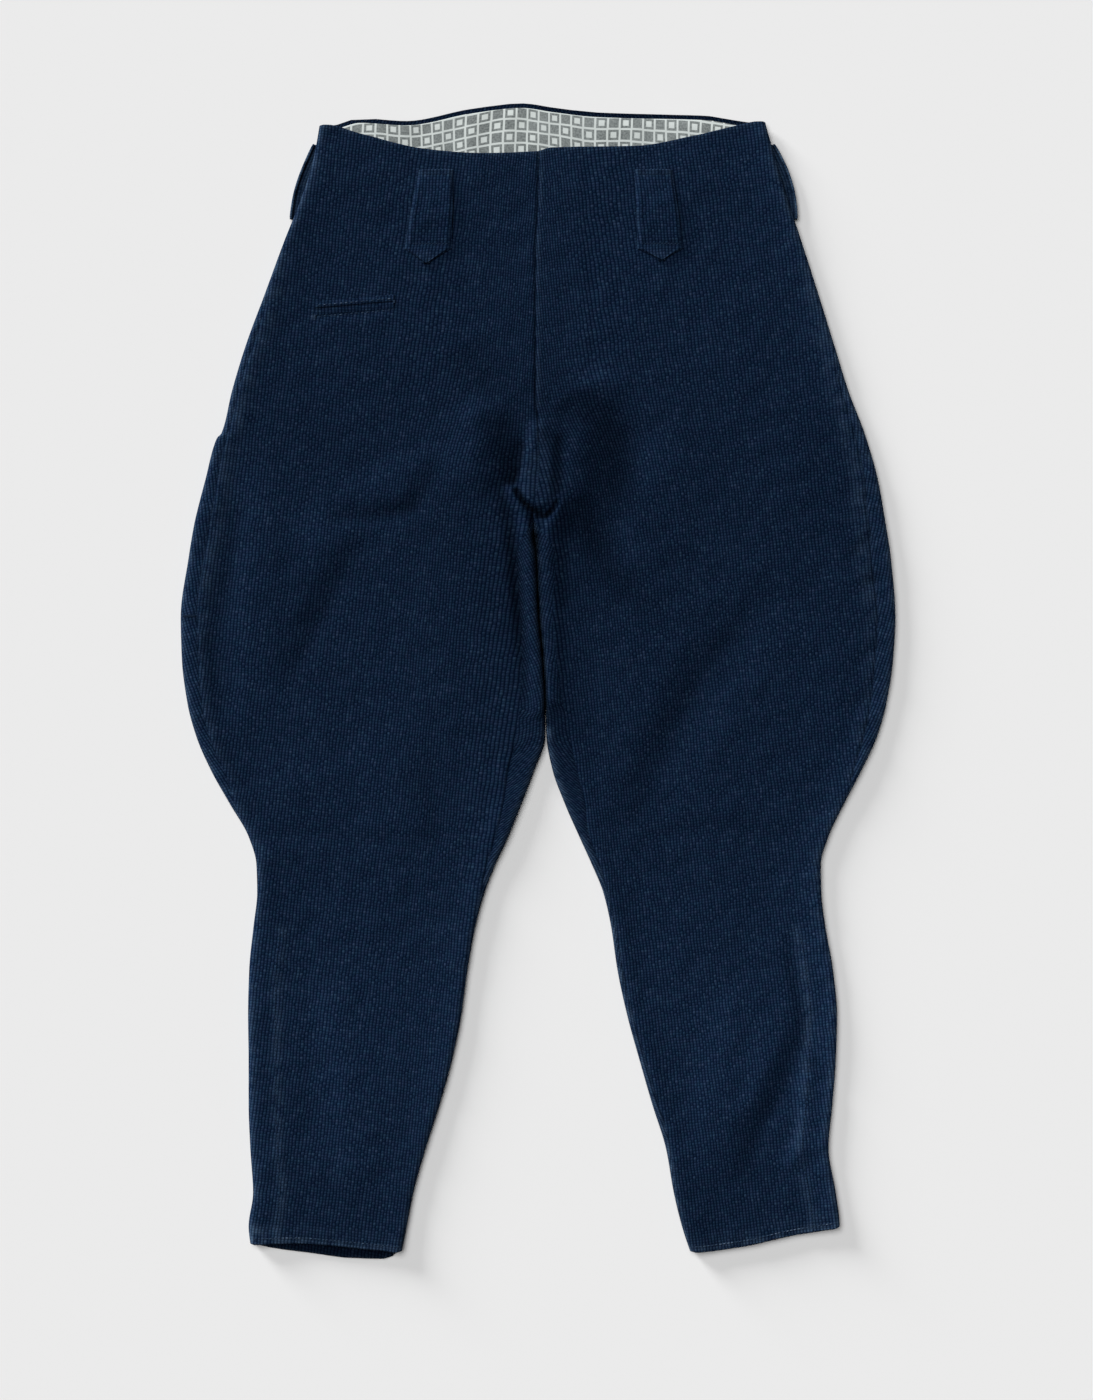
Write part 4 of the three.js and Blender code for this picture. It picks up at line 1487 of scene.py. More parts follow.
def mesh_object(
    name: str, points: Array, faces: list, grain: Array | None = None,
    values: dict[str, Array] | None = None,
) -> bpy.types.Object:
    """Links a smooth mesh object at the origin.

    Args:
        name: The piece's name.
        points: Its points in millimetres, on the drafting axes.
        faces: Its faces, each the numbers of its corners.
        grain: A place on the cloth for each point.
        values: Further values for each point, by name.

    Returns:
        The new object.
    """
    mesh = bpy.data.meshes.new(name)
    placed = (points + np.array([*SHIFT, 0.0])) * MM
    mesh.from_pydata(placed.tolist(), [], faces)
    mesh.shade_smooth()
    if grain is not None:
        corners = np.empty(len(mesh.loops), np.int64)
        mesh.loops.foreach_get("vertex_index", corners)
        mesh.uv_layers.new(name="Grain").data.foreach_set("uv", grain[corners].ravel())
    for key, value in (values or {}).items():
        layer = mesh.attributes.new(key, "FLOAT", "POINT")
        layer.data.foreach_set("value", np.ascontiguousarray(value, np.float32))
    piece = bpy.data.objects.new(name, mesh)
    bpy.context.scene.collection.objects.link(piece)
    return piece


def sharpen(mesh: bpy.types.Mesh, pairs: Array) -> None:
    """Gives a mesh a hard edge between each pair of its points.

    Args:
        mesh: The mesh.
        pairs: Numbers of the points, two in each row.
    """
    count = len(mesh.vertices)
    ends = np.empty(2 * len(mesh.edges), np.int64)
    mesh.edges.foreach_get("vertices", ends)
    ends = np.sort(ends.reshape(-1, 2), axis=1)
    pairs = np.sort(pairs, axis=1)
    hard = np.isin(ends[:, 0] * count + ends[:, 1], pairs[:, 0] * count + pairs[:, 1])
    mesh.attributes.new("sharp_edge", "BOOLEAN", "EDGE").data.foreach_set("value", hard)


@dataclass(frozen=True)
class Finishes:
    """The materials of the breeches."""

    panel: bpy.types.Material
    bias: bpy.types.Material
    band: bpy.types.Material
    facing: bpy.types.Material
    thread: bpy.types.Material
    worn_thread: bpy.types.Material

    @classmethod
    def build(cls) -> "Finishes":
        """Builds the shared groups and every finish from them.

        Returns:
            The finishes.
        """
        weave, rubbing, check = weave_group(), rubbing_group(), check_group()
        panel = DobbyFinish("Dobby cotton")
        bias = replace(panel, name="Dobby cotton on the bias", turn=math.radians(15))
        band = replace(
            panel, name="Doubled dobby cotton", thread=(0.0102, 0.0235, 0.0515, 1),
            rubbed=(0.044, 0.078, 0.130, 1),
        )
        worn_thread = ThreadFinish(
            "Worn sewing thread", fresh=(0.018, 0.035, 0.066, 1), rubbed=(0.070, 0.105, 0.160, 1),
        )
        return cls(
            panel=panel.material(weave, rubbing),
            bias=bias.material(weave, rubbing),
            band=band.material(weave, rubbing),
            facing=PrintedFinish().material(check),
            thread=ThreadFinish().material(),
            worn_thread=worn_thread.material(),
        )


def settle(
    piece: bpy.types.Object, material: bpy.types.Material, node: str | None = None,
) -> bpy.types.Object:
    """Dresses a piece and ties it to the frame.

    Args:
        piece: The finished piece.
        material: Its finish.
        node: The CAD node that it stands for.

    Returns:
        The same piece.
    """
    piece.data.materials.clear()
    piece.data.materials.append(material)
    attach(piece, "root")
    if node:
        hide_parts(node)
    LOG.info("%s: %d faces", piece.name, len(piece.data.polygons))
    return piece


def dress(sheet: Sheet, node: str, material: bpy.types.Material) -> bpy.types.Object:
    """Makes the cloth that stands for a CAD node.

    Args:
        sheet: The outer face of the cloth.
        node: The CAD node.
        material: Its finish.

    Returns:
        The finished piece.
    """
    return settle(sheet.make(f"{node}_cloth"), material, node)


@dataclass(frozen=True)
class Cut:
    """A cut of cloth laid flat, in millimetres and square millimetres."""

    width: float
    length: float
    area: float

    def declare(
        self, piece: bpy.types.Object, rests_on: tuple[str, ...], hold: Hold = Hold.LAID,
        carried: tuple[bpy.types.Object, ...] = (),
    ) -> None:
        """Does nothing: the piece isn't declared as a sheet of this cut.

        Args:
            piece: The finished piece; not used.
            rests_on: Names of what it lies on; not used.
            hold: How it is held; not used.
            carried: The stitches on it; not used.
        """


# ---------------------------------------------------------------- stitches

@dataclass
class Needle:
    """Makes rows of stitches from one stitch that is modelled once."""

    thread: bpy.types.Material
    radius: float = 0.42
    sides: int = 6
    taper: float = 0.45
    dip: float = 0.3  # of a stitch's two ends, in parts of its radius
    stand: float = 0.25  # of its middle above the cloth, likewise
    uneven_place: float = 0.1
    uneven_turn: float = 0.05
    uneven_length: tuple[float, float] = (0.88, 1.08)
    points: Array = field(init=False)
    faces: list[tuple[int, ...]] = field(init=False)

    def __post_init__(self) -> None:
        """Models the stitch: a short thread that thins towards its two ends, 1 mm long."""
        bpy.ops.object.select_all(action="DESELECT")
        bpy.ops.mesh.primitive_cylinder_add(
            vertices=self.sides, radius=self.radius, depth=0.5, rotation=(0, math.pi / 2, 0),
            end_fill_type="NGON",
        )
        stitch = bpy.context.object
        bpy.ops.object.transform_apply(location=False, rotation=True, scale=False)
        for end in (-1, 1):
            bpy.ops.object.mode_set(mode="OBJECT")
            for item in (*stitch.data.vertices, *stitch.data.edges):
                item.select = False
            for face in stitch.data.polygons:
                face.select = face.normal.x * end > 0.9
            bpy.ops.object.mode_set(mode="EDIT")
            bpy.ops.mesh.select_mode(type="FACE")
            out = (0.25 * end, 0, -self.dip * self.radius)
            bpy.ops.mesh.extrude_region_move(TRANSFORM_OT_translate={"value": out})
            bpy.ops.transform.resize(value=(1, self.taper, self.taper))
        bpy.ops.object.mode_set(mode="OBJECT")
        # Extruding numbers the points in an order that varies from run to run, so they are sorted.
        place = np.array([vertex.co[:] for vertex in stitch.data.vertices])
        order = np.lexsort(np.round(place, 5).T)
        number = np.argsort(order)
        self.points = place[order]
        self.faces = []
        for face in stitch.data.polygons:
            corners = number[list(face.vertices)]
            self.faces.append(tuple(np.roll(corners, -int(np.argmin(corners))).tolist()))
        self.faces.sort()
        bpy.data.objects.remove(stitch, do_unlink=True)

    def sew(
        self, name: str, path: Array, height: Callable[[Array, Array], Array],
        pitch: float = 3.6, length: float = 2.5, across: bool = False, seed: int = 1,
    ) -> bpy.types.Object:
        """Sews one row.

        Args:
            name: The row's name.
            path: Corners of the row in plan.
            height: Height of the cloth at places in plan.
            pitch: From one stitch to the next.
            length: The length of a stitch.
            across: Whether each stitch lies across the row, as in a bar tack.
            seed: Picks the row's unevenness.

        Returns:
            The row as one piece.
        """
        draw = np.random.default_rng(seed)
        runs = np.hypot(*np.diff(path, axis=0).T)
        walked = np.concatenate([[0], np.cumsum(runs)])
        places = np.arange(pitch / 2, walked[-1], pitch)
        places = places + draw.uniform(-self.uneven_place, self.uneven_place, len(places)) * pitch
        x, y = (np.interp(places, walked, path[:, k]) for k in (0, 1))
        ahead = [np.interp(places + 0.5, walked, path[:, k]) for k in (0, 1)]
        behind = [np.interp(places - 0.5, walked, path[:, k]) for k in (0, 1)]
        angle = np.arctan2(ahead[1] - behind[1], ahead[0] - behind[0])
        angle = angle + draw.normal(0, self.uneven_turn, len(x))
        if across:
            angle = angle + math.pi / 2
        points, faces = [], []
        for k in range(len(x)):
            scale = length * draw.uniform(*self.uneven_length)
            cos, sin = math.cos(angle[k]), math.sin(angle[k])
            half = np.array([-scale / 2, scale / 2])
            low, high = height(x[k] + cos * half, y[k] + sin * half)
            local = self.points * np.array([scale, 1, 1])
            placed = np.stack([
                x[k] + local[:, 0] * cos - local[:, 1] * sin,
                y[k] + local[:, 0] * sin + local[:, 1] * cos,
                (low + high) / 2 + (high - low) * local[:, 0] / scale + local[:, 2]
                + self.stand * self.radius,
            ], 1)
            first = len(points) * len(local)
            faces.extend(tuple(first + corner for corner in face) for face in self.faces)
            points.append(placed)
        return settle(mesh_object(name, np.concatenate(points), faces), self.thread)


# ---------------------------------------------------------------- the four panels

def panel_rows() -> Array:
    """Places of a panel's rows from the waist to the hem, closer at its two ends.

    Returns:
        The places, from the waist down.
    """
    inner = [WAIST_Y - ROW_STEP]
    while inner[-1] > HEM_Y + ROW_STEP:
        near_fork = FORK_ROWS_END < inner[-1] < FORK_ROWS_START
        inner.append(inner[-1] - (FORK_ROW_STEP if near_fork else ROW_STEP))
    inner = np.array(inner[:-1])
    exact = (FORK_Y, PLACKET_TOP_Y, POCKET_TOP_Y, POCKET_FOOT_Y)
    for place in exact:
        inner[np.argmin(np.abs(inner - place))] = place
    last = np.array(END_ROWS)
    return np.concatenate([WAIST_Y - last, inner, HEM_Y + last[::-1]])


ROWS = panel_rows()

# A panel's columns: distances in from its seams, in millimetres, and parts of the way in to a seam.
NEAR_SEAM = (0, 0.35, 0.8, 1.5, 2.4, 3.6, 5, 7.5, 10.5, 14, 17.5, 21, 24.5, PLACKET)
NEAR_FORK = (
    0, 0.35, 0.8, 1.5, 2.4, 3.6, 5, 6.6, 8.3, 10, 11.7, 13.4, 15.1, 16.8, 18.5, 20.2, 22, 24, 26,
    PLACKET,
)
ROUND_EDGE = (1, 0.8, 0.6, 0.45, 0.33, 0.24, 0.16, 0.09, 0.03, 0)
ON_FLOOR = (0.5, 1.5, 3, 5, 9, 16, 28, 50)
FRONT_STEPS = 66
BACK_STEPS = 14


def lay(places: list[Place], waist: Path, hem: Path) -> tuple[Array, Array]:
    """Places of a panel's grid in plan.

    Args:
        places: For each column, where it runs at each place along the leg.
        waist: The curve of the waist.
        hem: The curve of the hem.

    Returns:
        Places across and along, for each row and column.
    """
    near_waist = np.clip(1 - (WAIST_Y - ROWS) / WAIST_REACH, 0, 1)
    near_hem = np.clip(1 - (ROWS - HEM_Y) / HEM_REACH, 0, 1)
    xs, ys = [], []
    for place in places:
        flat = place(ROWS)
        bent = (along(waist, flat) - WAIST_Y) * near_waist + (along(hem, flat) - HEM_Y) * near_hem
        ys.append(ROWS + bent)
        xs.append(place(ROWS + bent))
    return np.stack(xs, 1), np.stack(ys, 1)


# For each row of a panel: thickness of the cloth, and whether the row is a folded edge.
CLOTH_AT_ROWS = np.where(ROWS < HEM_Y + HEM_BAND, HEM_CLOTH, CLOTH)[:, None]
FREE_ENDS = np.isin(np.arange(len(ROWS)), (0, len(ROWS) - 1))[:, None]


@dataclass(frozen=True)
class Fan:
    """A place where the grain fans out from the fork, in millimetres."""

    x: float
    y: float
    push: float
    width: float
    length: float

    def shift(self, x: Array, y: Array) -> Array:
        """How far the grain is pushed sideways."""
        return self.push * np.tanh((y - self.y) / self.length) * bump(x - self.x, self.width)


FANS = (Fan(30, 222, 12, 42, 34), Fan(-66, 228, -7, 40, 40), Fan(110, 215, 5, 60, 60))
LEAN = math.radians(6.7)  # of the grain, outwards going down
STRIP_TURN = math.radians(4)  # of the grain on the strips beside the slit, added to the bias


def turn(x: Array, y: Array, angle: Array | float) -> tuple[Array, Array]:
    """Turns places about the origin."""
    cos, sin = np.cos(angle), np.sin(angle)
    return x * cos - y * sin, x * sin + y * cos


def grain_on_front(leg: Leg, x: Array, y: Array) -> tuple[Array, Array]:
    """Place on the cloth for each place in plan, across and along the grain.

    Args:
        leg: The leg.
        x: Places across.
        y: Places along.

    Returns:
        The two places on the cloth.
    """
    fanned = x + sum(fan.shift(x, y) for fan in FANS)
    across = fanned * math.cos(LEAN) + leg.side * y * math.sin(LEAN)
    length = -leg.side * fanned * math.sin(LEAN) + y * math.cos(LEAN)
    return across, length


@dataclass
class Front:
    """One front panel, from the side seam to the centre seam and the inseam."""

    leg: Leg
    finishes: Finishes
    cut: Cut

    def columns(self) -> list[Place]:
        """Where each column runs, from the side seam inwards.

        Returns:
            For each column, its place across at places along.
        """
        leg = self.leg

        def past(seam: Array, d: float) -> Array:
            """Distance in from the edge of what lies d past a seam."""
            return seam + d * (PLACKET - seam) / PLACKET

        def outer(d: float) -> Place:
            """A column beside the side seam."""
            return lambda y: leg.outer(y) - leg.side * past(leg.out_seam(y), d)

        def inner(d: float) -> Place:
            """A column beside the inseam and the centre seam."""
            return lambda y: leg.inner(y) + leg.side * past(leg.in_seam(y), d)

        def middle(t: float) -> Place:
            """A column between the two, a part t of the way in."""
            return lambda y: outer(PLACKET)(y) * (1 - t) + inner(PLACKET)(y) * t

        steps = [middle(k / FRONT_STEPS) for k in range(1, FRONT_STEPS)]
        return [*map(outer, NEAR_SEAM), *steps, *map(inner, reversed(NEAR_FORK))]

    def sheet(self, placket: bool) -> Sheet:
        """The front, or the placket along its side seam at the calf.

        Args:
            placket: Whether to take the placket's cells.

        Returns:
            The sheet of those cells.
        """
        leg = self.leg
        x, y = lay(self.columns(), WAIST_FRONT, HEM_FRONT)
        in_placket = np.zeros((len(ROWS) - 1, x.shape[1] - 1), bool)
        in_placket[(ROWS[:-1] <= PLACKET_TOP_Y), : len(NEAR_SEAM) - 1] = True
        u, v = grain_on_front(leg, x, y)
        ridge = leg.placket_ridge(x, y, STRIP.ridge_width)
        fade = leg.fade(x, y) + (STRIP.strip_fade if placket else 0) + STRIP.ridge_fade * ridge
        wear = leg.wear(x, y) + STRIP.ridge_wear * ridge
        return Sheet(
            x, y, leg.top(x, y), u, v, fade, wear, flip=leg.side > 0, cloth=CLOTH_AT_ROWS,
            keep=in_placket if placket else ~in_placket, free=FREE_ENDS,
        )

    def build(self) -> bpy.types.Object:
        """Builds the panel.

        Returns:
            The finished piece.
        """
        node = f"front_{self.leg.name}"
        piece = dress(self.sheet(placket=False), node, self.finishes.panel)
        self.cut.declare(piece, (f"back_{self.leg.name}_cloth",))
        return piece


@dataclass
class CalfPlacket:
    """The doubled strip over the hidden closing of one calf."""

    front: Front
    finishes: Finishes
    cut: Cut
    stitches: float = PLACKET - 3.5  # in from the outer edge
    stitches_start: float = 4.0  # below the strip's top
    corners: int = 60
    first_seed: int = 31

    def build(self, needle: Needle) -> bpy.types.Object:
        """Builds the strip and its row of stitches.

        Args:
            needle: Sews the stitches.

        Returns:
            The finished piece.
        """
        leg = self.front.leg
        node = f"calf_placket_{leg.name}"
        piece = dress(self.front.sheet(placket=True), node, self.finishes.band)
        y = np.linspace(PLACKET_TOP_Y - self.stitches_start, HEM_Y + HEM_BAND, self.corners)
        path = np.stack([leg.outer(y) - leg.side * self.stitches, y], 1)
        seed = self.first_seed + leg.side
        row = needle.sew(f"{node}_stitches", path, leg.top, seed=seed)
        self.cut.declare(piece, (f"back_{leg.name}_cloth",), carried=(row,))
        return piece


@dataclass(frozen=True)
class BackLook:
    """How much lighter or darker the back is made, with painted shade inside the hem's mouth, and
    how it is rubbed, beside what its leg says; widths in millimetres.
    """

    inner_strip: float = -0.12
    right_side: float = 0.34
    left_side: float = 0.06
    # Painted shade inside the hem's mouth, on the back where it lies under the front.
    hem_mouth_shade: float = 1.3
    mouth_above: float = 12
    mouth_edge: float = 6
    waist: Band = Band(-0.9, 5)
    edge_worn: Band = Band(0.5, 4)
    hem_worn: Band = Band(0.22, 1.6)


@dataclass
class Back:
    """One back panel: on top past the side seam, round the edge, over the floor and round again."""

    leg: Leg
    finishes: Finishes
    cut: Cut
    look: BackLook = BackLook()

    def columns(self) -> list[tuple[Place, bool]]:
        """Where each column runs, and whether it lies on top.

        Returns:
            For each column, its place across at places along, and whether it lies on top.
        """
        leg = self.leg

        def inner(y: Array) -> Array:
            """The inner edge, moved over at the back's own centre seam."""
            return leg.inner(y) + BACK_SEAM_SIDE * step(y, FORK_Y, FORK_Y + BACK_SEAM_STARTS)

        def near_outer(d: float) -> Place:
            """A column on the floor beside the outer edge."""
            return lambda y: leg.outer(y) - leg.side * d

        def near_inner(d: float) -> Place:
            """A column on the floor beside the inner edge."""
            return lambda y: inner(y) + leg.side * d

        def middle(t: float) -> Place:
            """A column on the floor between the two, a part t of the way in."""
            return lambda y: near_outer(ON_FLOOR[-1])(y) * (1 - t) + near_inner(ON_FLOOR[-1])(y) * t

        def on_outer(f: float) -> Place:
            """A column on top, a part f of the way to the side seam."""
            return lambda y: leg.outer(y) - leg.side * f * leg.out_seam(y)

        def on_inner(f: float) -> Place:
            """A column on top, a part f of the way to the inseam."""
            return lambda y: inner(y) + leg.side * f * leg.in_seam(y)

        steps = [middle(k / BACK_STEPS) for k in range(1, BACK_STEPS)]
        floor = [*map(near_outer, ON_FLOOR), *steps, *map(near_inner, reversed(ON_FLOOR))]
        return [
            *((on_outer(f), True) for f in ROUND_EDGE), *((place, False) for place in floor),
            *((on_inner(f), True) for f in reversed(ROUND_EDGE)),
        ]

    def sheet(self, pocket: bool) -> Sheet:
        """The back, or the band over the side pocket in its seam.

        Args:
            pocket: Whether to take the band's cells.

        Returns:
            The sheet of those cells.
        """
        leg, look = self.leg, self.look
        columns = self.columns()
        x, y = lay([place for place, _ in columns], WAIST_BACK, HEM_BACK)
        on_top = np.array([top for _, top in columns])[None, :]
        inside_top = np.arange(x.shape[1])[None, :] >= x.shape[1] - len(ROUND_EDGE)
        above = (y > FORK_Y) & inside_top
        z = np.where(on_top & ~above, leg.top(x, y), leg.floor(x, y))
        band = np.zeros((len(ROWS) - 1, x.shape[1] - 1), bool)
        if leg.side < 0:
            inside = (ROWS[:-1] <= POCKET_TOP_Y) & (ROWS[:-1] > POCKET_FOOT_Y)
            band[inside, : len(ROUND_EDGE) - 1] = True
        walked = np.hypot(np.diff(x, axis=1), np.diff(z, axis=1))
        u = np.concatenate([np.zeros((len(x), 1)), np.cumsum(walked, 1)], 1)
        u, v = turn(u, y, np.where(inside_top, STRIP_TURN, 0.0))
        side = look.right_side if leg.side < 0 else look.left_side
        fade = np.where(on_top, leg.fade(x, y), 0.0) + np.where(inside_top, look.inner_strip, side)
        # Painted shade inside each hem's mouth, on the part of the back that lies on the floor.
        mouth = step(along(HEM_FRONT, x) + look.mouth_above - y, 0, look.mouth_edge)
        fade = fade - np.where(on_top, 0.0, look.hem_mouth_shade * mouth)
        fade = fade + look.waist.at(y - along(WAIST_BACK, x))
        wear = leg.wear(x, y) * on_top + look.edge_worn.at(leg.to_edge(x, y))
        wear = wear + look.hem_worn.at(y - along(HEM_BACK, x))
        return Sheet(
            x, y, z, u, v, fade, wear, flip=leg.side < 0, cloth=CLOTH_AT_ROWS,
            keep=band if pocket else ~band, free=FREE_ENDS,
        )

    def build(self) -> bpy.types.Object:
        """Builds the panel.

        Returns:
            The finished piece.
        """
        sheet = self.sheet(pocket=False)
        piece = dress(sheet, f"back_{self.leg.name}", self.finishes.bias)
        self.cut.declare(piece, ())
        return piece


@dataclass
class SidePocket:
    """The band that closes the pocket in the right side seam, tacked at its foot."""

    back: Back
    finishes: Finishes
    cut: Cut
    tack: tuple[float, float] = (2.5, 14.0)  # its ends, in from the outer edge
    tack_above: float = 1.0
    pitch: float = 0.8
    stitch: float = 2.6

    def build(self, needle: Needle) -> bpy.types.Object:
        """Builds the band with its tack.

        Args:
            needle: Sews the stitches.

        Returns:
            The finished piece.
        """
        leg = self.back.leg
        sheet = self.back.sheet(pocket=True)
        piece = dress(sheet, "side_pocket_right", self.finishes.bias)
        y = np.full(2, POCKET_FOOT_Y + self.tack_above)
        path = np.stack([leg.outer(y) - leg.side * np.array(self.tack), y], 1)
        tack = needle.sew(
            "side_pocket_tack", path, leg.top, pitch=self.pitch, length=self.stitch,
            across=True,
        )
        self.cut.declare(piece, ("front_right_cloth",), carried=(tack,))
        return piece


# ---------------------------------------------------------------- belt loops, pocket and facing

@dataclass
class FrontLoop:
    """A wide belt loop that ends in a point, bowed off the front between its sewn ends.

    Its outline is the leg's table of belt loop rows.
    """

    leg: Leg
    finishes: Finishes
    cut: Cut
    cloth: float = 2.3
    bow: float = 2.2
    clear: float = 0.2
    row_in: float = 4.0  # from an end to its row of stitches
    row_short: float = 2.5  # from a side to that row's ends
    tack: Band = Band(-0.5, 2.2)
    side_round: float = -1.4
    side_starts: float = 0.8  # in parts of the half width, as in the seam
    seam: Band = Band(0.35, 0.08, 0.82)
    waves: Waves = Waves(0.15, 17, 8)
    edge_worn: Band = Band(0.3, 2.2)
    top_worn: Band = Band(0.4, 5)
    tip_worn: Band = Band(0.3, 7)
    pale: float = 0.14
    foot_dark: Band = Band(0.2, 4)
    edge_pale: Band = Band(0.12, 3)
    closer: float = 0.55  # how much closer the columns lie at the two sides
    body_rows: int = 46
    tip_rows: int = 9
    first_row: float = 0.6
    columns: int = 31
    rounding: float = 0.22
    pitch: float = 3.0
    stitch: float = 2.2

    def height(self, x: Array, y: Array) -> Array:
        """Height of the loop's upper face.

        Args:
            x: Places across.
            y: Places along.

        Returns:
            One height for each place.
        """
        top, shoulder, _ = self.leg.loop_places
        t = np.clip((top - y) / (top - shoulder), 0, 1)
        middle, width = self.leg.loop_at(y)
        across = np.clip(np.abs(x - middle) / (width / 2), 0, 1)
        stand = self.bow * np.sin(math.pi * t) ** 2
        tacks = self.tack.at(y - shoulder - self.row_in) + self.tack.at(y - top + self.row_in)
        rounded = self.side_round * step(across, self.side_starts, 1.0)
        face = self.leg.top(x, y) + self.clear + self.cloth + stand
        return face + tacks + rounded + self.seam.at(across) + self.waves.at(x, y)

    def build(self, needle: Needle) -> bpy.types.Object:
        """Builds the loop with its two tacks.

        Args:
            needle: Sews the stitches.

        Returns:
            The finished piece.
        """
        top, shoulder, tip = self.leg.loop_places
        body = np.linspace(top, shoulder, self.body_rows)[1:-1]
        point = np.linspace(shoulder, tip, self.tip_rows)
        y = np.concatenate([[top, top - self.first_row], body, point])
        even = np.linspace(-1, 1, self.columns)
        t = np.sin(even * math.pi / 2) * self.closer + even * (1 - self.closer)
        yy = np.repeat(y[:, None], len(t), 1)
        middle, width = self.leg.loop_at(yy)
        u = t[None, :] * width / 2
        xx = middle + u
        edge = (1 - np.abs(t))[None, :] * width / 2
        wear = self.edge_worn.at(edge) + self.top_worn.at(yy - top) + self.tip_worn.at(yy - tip)
        fade = self.pale - self.foot_dark.at(yy - shoulder - self.row_in) + self.edge_pale.at(edge)
        node = f"belt_loop_front_{self.leg.name}"
        sheet = Sheet(
            xx, yy, self.height(xx, yy), u, yy, fade, wear, flip=False, cloth=self.cloth,
            round_out=self.rounding, shift=0.0,
        )
        piece = dress(sheet, node, self.finishes.band)
        rows = []
        for place, at in (("top", top - self.row_in), ("foot", shoulder + self.row_in)):
            middle, width = map(float, self.leg.loop_at(np.array(at)))
            half = width / 2 - self.row_short
            path = np.array([[middle - half, at], [middle + half, at]])
            rows.append(needle.sew(
                f"{node}_{place}_stitches", path, self.height, pitch=self.pitch,
                length=self.stitch,
            ))
        self.cut.declare(piece, (f"front_{self.leg.name}_cloth",), Hold.FOLDED, tuple(rows))
        return piece


@dataclass
class SideLoop:
    """A belt loop at the side, trapped under the back, with its free edge bowed out."""

    leg: Leg
    finishes: Finishes
    cut: Cut
    size: SideLoopSize = SIDE_LOOP
    edge_worn: Band = Band(0.8, 2.5)
    middle_worn: Band = Band(0.5, 0.8, 0.5)  # along the loop, from 0 to 1
    pale: float = 0.2
    rows: int = 31
    rounding: float = 0.2

    def build(self) -> bpy.types.Object:
        """Builds the loop.

        Returns:
            The finished piece.
        """
        size, leg = self.size, self.leg
        # Distance in from the free edge, and height over the floor.
        profile = np.array([
            (0, size.rim), (-0.15, size.rim * 0.8), (-0.2, size.rim / 2), (0.2, size.rim * 0.25),
            (0.9, 0.7), (1.8, 0.2), (2.8, 0), (6, 0), (10, 0), (size.width / 2, 0), (size.width, 0),
        ])
        t = np.linspace(0, 1, self.rows)[:, None]
        y = size.top + (size.foot - size.top) * t + 0 * profile[None, :, 0]
        bow = np.sin(math.pi * np.clip(t, 0, 1)) ** size.bow_power
        bowed = size.root + (size.bow - size.root) * bow
        x = leg.outer(y) + leg.side * (bowed - profile[None, :, 0])
        z = np.broadcast_to(profile[None, :, 1], x.shape)
        walked = np.cumsum(np.hypot(*np.diff(profile, axis=0, prepend=profile[:1]).T))
        u = np.broadcast_to(walked[None, :], x.shape)
        wear = self.edge_worn.at(u) + self.middle_worn.at(t)
        sheet = Sheet(
            x, y, z, u, y, self.pale + 0 * x, wear, flip=leg.side < 0, cloth=size.cloth,
            round_out=self.rounding,
        )
        piece = dress(sheet, f"belt_loop_side_{leg.name}", self.finishes.band)
        self.cut.declare(piece, (f"back_{leg.name}_cloth",), Hold.FOLDED)
        return piece


